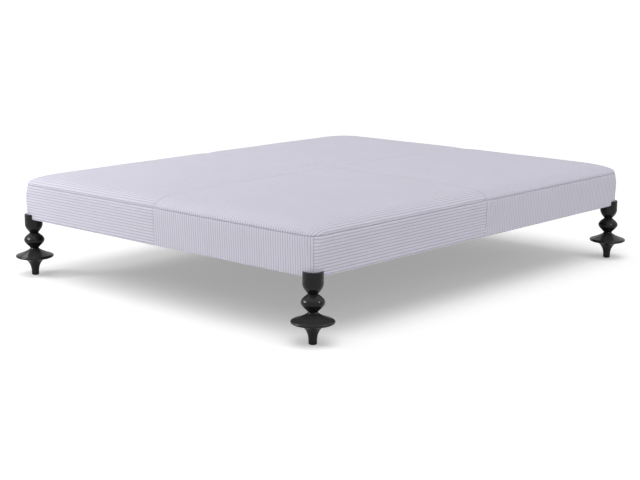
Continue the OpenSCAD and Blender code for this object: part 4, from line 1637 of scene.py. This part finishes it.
@dataclass
class TurnedLeg:
    """One turned leg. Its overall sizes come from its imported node."""

    name: str
    signs: Signs
    foot_radius: float = 0.0143
    foot_height: float = 0.012
    disc_cove: float = 0.054
    disc_rim: float = 0.015
    disc_nose: float = 0.015
    nose_turns: tuple[int, int, int] = (-84, 61, 6)
    disc_shoulder: float = 0.0245
    shoulder_hollow: float = 1.5
    neck_radius: float = 0.016
    bulb_radius: float = 0.0395
    bulb_height: float = 0.0595
    bulb_fullness: float = 1.05
    bulb_lean: float = 1.12
    cup_radius: float = 0.0345
    cup_swell: float = 0.034
    rim_radius: float = 0.0008
    rim_share: float = 0.3
    socket_gap: float = 0.0004
    socket_width: float = 0.24
    socket_height: float = 0.06
    socket_steps: int = 20
    bolt_depth: float = 0.044
    bolt_hole: float = 0.00405
    nail_hole: float = 0.00125
    nail_depth: float = 0.014
    overrun: float = 0.01
    hole_sides: int = 32
    curve_steps: int = 22
    wall_steps: int = 6
    turn_steps: int = 112
    merge_gap: float = 1e-6
    crease: float = 32.0

    def stretch(self, level: float, height: float, radius: Callable[[float], float]) -> list[Pair]:
        """Draws one stretch of the turning, from just over its start to its end.

        Args:
            level: where it starts.
            height: how high it is.
            radius: gives the radius at a share of the height.

        Returns:
            Radius and height pairs.
        """
        shares = [i / self.curve_steps for i in range(1, self.curve_steps + 1)]
        return [(radius(share), level + height * share) for share in shares]

    def outline(self, disc_radius: float, low: float, high: float) -> list[Pair]:
        """Draws the turning.

        Args:
            disc_radius: the disc's radius.
            low: the foot's underside.
            high: the rim of the socket.

        Returns:
            Radius and height pairs from the foot to the rim, closed on the axis at both ends.
        """
        cove = low + self.foot_height
        rim = cove + self.disc_cove
        bulb = rim + self.disc_rim + self.disc_shoulder
        neck = bulb + self.bulb_height
        wall = neck + self.cup_swell
        foot, thin, cup, soft = self.foot_radius, self.neck_radius, self.cup_radius, self.rim_radius
        cut = soft * self.rim_share
        under = disc_radius - self.disc_nose - foot
        points = [(0.0, low), (foot - soft, low), (foot - cut, low + cut), (foot, low + soft), (foot, cove)]
        points += self.stretch(cove, self.disc_cove, lambda u: foot + under * (1 - math.sqrt(1 - u * u)))
        for degrees in range(*self.nose_turns):
            angle = math.radians(degrees)
            points.append((disc_radius - self.disc_nose * (1 - math.cos(angle)),
                           rim + self.disc_rim / 2 + self.disc_rim / 2 * math.sin(angle)))
        edge, level = points[-1]
        points += self.stretch(level, bulb - level,
                               lambda u: thin + (edge - thin) * (1 - u) ** self.shoulder_hollow)
        points += self.stretch(bulb, self.bulb_height, self.bulge)
        points += self.stretch(neck, self.cup_swell,
                               lambda u: thin + (cup - thin) * math.sin(QUARTER_TURN * u))
        points += [(cup, wall + (high - wall) * i / self.wall_steps) for i in range(1, self.wall_steps)]
        return points + [(cup, high - soft), (cup - cut, high - cut), (cup - soft, high), (0.0, high)]

    def bulge(self, share: float) -> float:
        """The bulb's radius at a share of its height."""
        fullness = abs(math.sin(math.pi * share ** self.bulb_lean)) ** self.bulb_fullness
        return self.neck_radius + (self.bulb_radius - self.neck_radius) * fullness

    def socket(self, shape: BoxShape) -> bmesh.types.BMesh:
        """The corner of the box with room to spare, which the leg's cup holds.

        Args:
            shape: the box.

        Returns:
            The corner as a block.
        """
        width, height, gap = self.socket_width, self.socket_height, self.socket_gap
        mesh = bmesh.new()
        bmesh.ops.create_cube(mesh, size=1.0)
        bmesh.ops.scale(mesh, vec=(width, width, height), verts=mesh.verts)
        posts = [e for e in uprights(mesh) if e.verts[0].co.x > 0 and e.verts[0].co.y > 0]
        round_off(mesh, posts, shape.corner_radius - shape.side_tuck + gap, self.socket_steps)
        centre = [half - shape.side_tuck + gap - width / 2 for half in (shape.half_x, shape.half_y)]
        bmesh.ops.translate(mesh, vec=(*centre, shape.underside + height / 2), verts=mesh.verts)
        bmesh.ops.scale(mesh, vec=(*self.signs, 1), verts=mesh.verts)
        return mesh

    def drill(self, centre: Vector, radius: float, low: float, high: float) -> bmesh.types.BMesh:
        """A drill hole's shape along the leg's axis.

        Args:
            centre: a point on the axis.
            radius: the hole's radius.
            low: where it starts.
            high: where it ends.

        Returns:
            The shape.
        """
        mesh = bmesh.new()
        bmesh.ops.create_cone(mesh, cap_ends=True, segments=self.hole_sides, radius1=radius, radius2=radius,
                              depth=high - low)
        bmesh.ops.translate(mesh, vec=(centre.x, centre.y, (low + high) / 2), verts=mesh.verts)
        return mesh

    def build(self, shape: BoxShape) -> None:
        """Turns the leg, then cuts its socket and its two holes.

        Args:
            shape: the box that stands in the socket.
        """
        low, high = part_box(self.name)
        centre = (low + high) / 2
        mesh = bmesh.new()
        points = self.outline((high.x - low.x) / 2, low.z, high.z)
        line = [mesh.verts.new((centre.x + radius, centre.y, level)) for radius, level in points]
        edges = [mesh.edges.new(pair) for pair in zip(line, line[1:])]
        bmesh.ops.spin(mesh, geom=line + edges, cent=(centre.x, centre.y, 0), axis=(0, 0, 1), dvec=(0, 0, 0),
                       angle=2 * math.pi, steps=self.turn_steps, use_merge=True)
        bmesh.ops.remove_doubles(mesh, verts=mesh.verts, dist=self.merge_gap)
        bmesh.ops.recalc_face_normals(mesh, faces=mesh.faces)
        piece = new_piece(f"{self.name}_turned", mesh, EBONY, self.name)
        shapes = [self.socket(shape),
                  self.drill(centre, self.bolt_hole, shape.underside - self.bolt_depth, high.z),
                  self.drill(centre, self.nail_hole, low.z - self.overrun, low.z + self.nail_depth)]
        cutters = []
        for cutter_mesh in shapes:
            bmesh.ops.recalc_face_normals(cutter_mesh, faces=cutter_mesh.faces)
            cutters.append(solid_object("cutter", cutter_mesh))
            cut = piece.modifiers.new("Cut", "BOOLEAN")
            cut.operation, cut.object, cut.solver = "DIFFERENCE", cutters[-1], "EXACT"
        apply_modifiers(piece)
        for cutter in cutters:
            bpy.data.meshes.remove(cutter.data)
        piece.data.set_sharp_from_angle(angle=math.radians(self.crease))


# Carried-over hardware and timber


@dataclass(frozen=True)
class Fittings:
    """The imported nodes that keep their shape, and the finish of each."""

    finishes: tuple[tuple[Finish, tuple[str, ...]], ...] = (
        (TIMBER, ("post", "rail", "cross_rails", "centre_spine", "brace_front", "brace_back")),
        (ZINC, ("hanger_bolts", "brace_screws")),
        (BRASS, ("threaded_inserts",)),
        (BLUED, ("webbing_tacks", "dust_cover_tacks")),
        (NYLON, ("glides",)),
    )

    def build(self) -> None:
        """Dresses each node whose name starts as listed."""
        for finish, starts in self.finishes:
            for name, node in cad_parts.items():
                if name.startswith(starts):
                    node.data.materials.clear()
                    node.data.materials.append(finish.material())
                    LOG.info("%s: dressed in %s", name, finish.slot)


# Studio


@dataclass
class Studio:
    """Pale floor, plain soft light and the camera. Each softbox and card has a place, a size and a power."""

    camera_place: Place = (-4.1035, -3.6325, 1.2203)
    heading: float = 48.041
    pitch_down: float = 11.501
    roll: float = 0.303
    focal_pixels: float = 1386.2
    image_width: float = 640.0
    farthest: float = 500.0
    floor_size: float = 120.0
    floor_tone: float = 0.93
    seen_tone: float = 1.28
    floor_lift: float = 0.33
    sky: float = 0.39
    sky_lean: float = 0.15
    key_power: float = 1.42
    key_spread: float = 55.0
    key_from: Place = (-0.2, -0.22, 1.0)
    key_place: Place = (0.0, 0.0, 3.0)
    softboxes: tuple[tuple[Place, float, float], ...] = (
        ((-2.08, 1.74, 1.37), 0.8, 13.8), ((0.17, -2.99, 1.81), 0.7, 3.1), ((0.0, 2.6, 2.2), 1.0, 6.0))
    gloss_cards: tuple[tuple[Place, float, float], ...] = (
        ((-2.85, 1.42, 1.45), 1.5, 66.0), ((0.2, -3.15, 1.9), 1.0, 26.0))

    def camera(self) -> None:
        """Sets the camera at the photograph's angle and distance."""
        data = bpy.data.cameras.new("camera")
        data.lens = self.focal_pixels * data.sensor_width / self.image_width
        data.clip_end = self.farthest
        camera = placed("camera", data)
        turn = (Matrix.Rotation(math.radians(-self.heading), 4, "Z")
                @ Matrix.Rotation(math.radians(90 - self.pitch_down), 4, "X")
                @ Matrix.Rotation(math.radians(self.roll), 4, "Z"))
        camera.matrix_world = Matrix.Translation(self.camera_place) @ turn
        bpy.context.scene.camera = camera

    def white_share(self, web: Web) -> bpy.types.NodeSocket:
        """Tells the rays that show the floor and the sky from those that light the object.

        Args:
            web: the material's or the world's tree.

        Returns:
            1 for camera, glossy and transmission rays, 0 for the rest.
        """
        path = web.node("LightPath").outputs
        either = web.math("MAXIMUM", path["Is Camera Ray"], path["Is Glossy Ray"])
        return web.math("MAXIMUM", either, path["Is Transmission Ray"])

    def floor(self) -> None:
        """Lays the floor. The camera sees it whiter than the object does, and it keeps the shadow."""
        mesh = bmesh.new()
        bmesh.ops.create_grid(mesh, x_segments=1, y_segments=1, size=self.floor_size)
        floor = solid_object("floor", mesh)
        material = bpy.data.materials.new("floor_white")
        web = Web.fresh(material)
        tone = web.blend(self.white_share(web), (self.floor_tone,) * 3, (self.seen_tone,) * 3)
        paint = web.node("BsdfDiffuse", {"Color": tone})
        glow = web.node("Emission", {"Color": WHITE, "Strength": 1.0})
        share = web.math("MULTIPLY", self.white_share(web), self.floor_lift)
        mixed = web.node("MixShader", {0: share, 1: paint.outputs[0], 2: glow.outputs[0]})
        web.node("OutputMaterial", {"Surface": mixed.outputs[0]})
        floor.data.materials.append(material)
        floor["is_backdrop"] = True

    def world(self) -> None:
        """Sets a soft sky, a little brighter at the left, and white where it is seen."""
        world = bpy.data.worlds.new("studio")
        web = Web.fresh(world)
        across = web.node("SeparateXYZ", {0: web.coordinates("Generated")}).outputs["X"]
        level = web.math("MULTIPLY_ADD", across, -self.sky * self.sky_lean, self.sky)
        light = web.node("Background", {"Color": WHITE, "Strength": level})
        seen = web.node("Background", {"Color": WHITE, "Strength": 1.0})
        mixed = web.node("MixShader", {0: self.white_share(web), 1: light.outputs[0], 2: seen.outputs[0]})
        web.node("OutputWorld", {"Surface": mixed.outputs[0]})
        bpy.context.scene.world = world

    def key(self) -> None:
        """Lights the box from above with one broad soft sun, which shows in no reflection."""
        data = bpy.data.lights.new("key", "SUN")
        data.energy = self.key_power
        data.angle = math.radians(self.key_spread)
        self.hang(data, self.key_place, self.key_from).visible_glossy = False

    def hang(self, data: bpy.types.Light, place: Place, turned_from: Place) -> bpy.types.Object:
        """Puts a lamp at a place and points its beam down one direction.

        Args:
            data: its light, whose name it takes.
            place: where it hangs.
            turned_from: the direction that its beam comes from.

        Returns:
            The lamp.
        """
        lamp = placed(data.name, data)
        lamp.location = place
        lamp.rotation_euler = Vector(turned_from).to_track_quat("Z", "Y").to_euler()
        return lamp

    def side_lights(self) -> None:
        """Stands softboxes at the left, in front and behind, and cards that show only in reflections."""
        for number, (place, size, power) in enumerate(self.softboxes + self.gloss_cards):
            data = bpy.data.lights.new(f"softbox_{number}", "AREA")
            data.shape, data.size, data.energy = "DISK", size, power
            self.hang(data, place, place).visible_diffuse = number < len(self.softboxes)

    def build(self) -> None:
        """Sets up the whole studio."""
        self.camera()
        self.floor()
        self.world()
        self.key()
        self.side_lights()
        bpy.context.scene.view_settings.view_transform = "Standard"


def main() -> None:
    """Builds the divan and the studio."""
    logging.basicConfig(level=logging.INFO, format="%(message)s")
    Studio().build()
    shape = BoxShape.from_frame()
    LOG.info("box: %.4f by %.4f m, seam at %.4f m", 2 * shape.half_x, 2 * shape.half_y, shape.seam)
    Fittings().build()
    Suspension().build()
    Padding(shape).build()
    SideBands(shape).build()
    SeamTape(shape).build()
    CrownCover(shape).build()
    DustCover().build()
    for name, signs in QUARTERS.items():
        TurnedLeg(f"leg_{name}", signs).build(shape)
    boxes = {"cad": [list(corner) for corner in CAD_BOX], "visual": [list(corner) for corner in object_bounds()]}
    for which, corners in boxes.items():
        LOG.info("%s box: %s", which, corners)


if __name__ == "__main__":
    main()
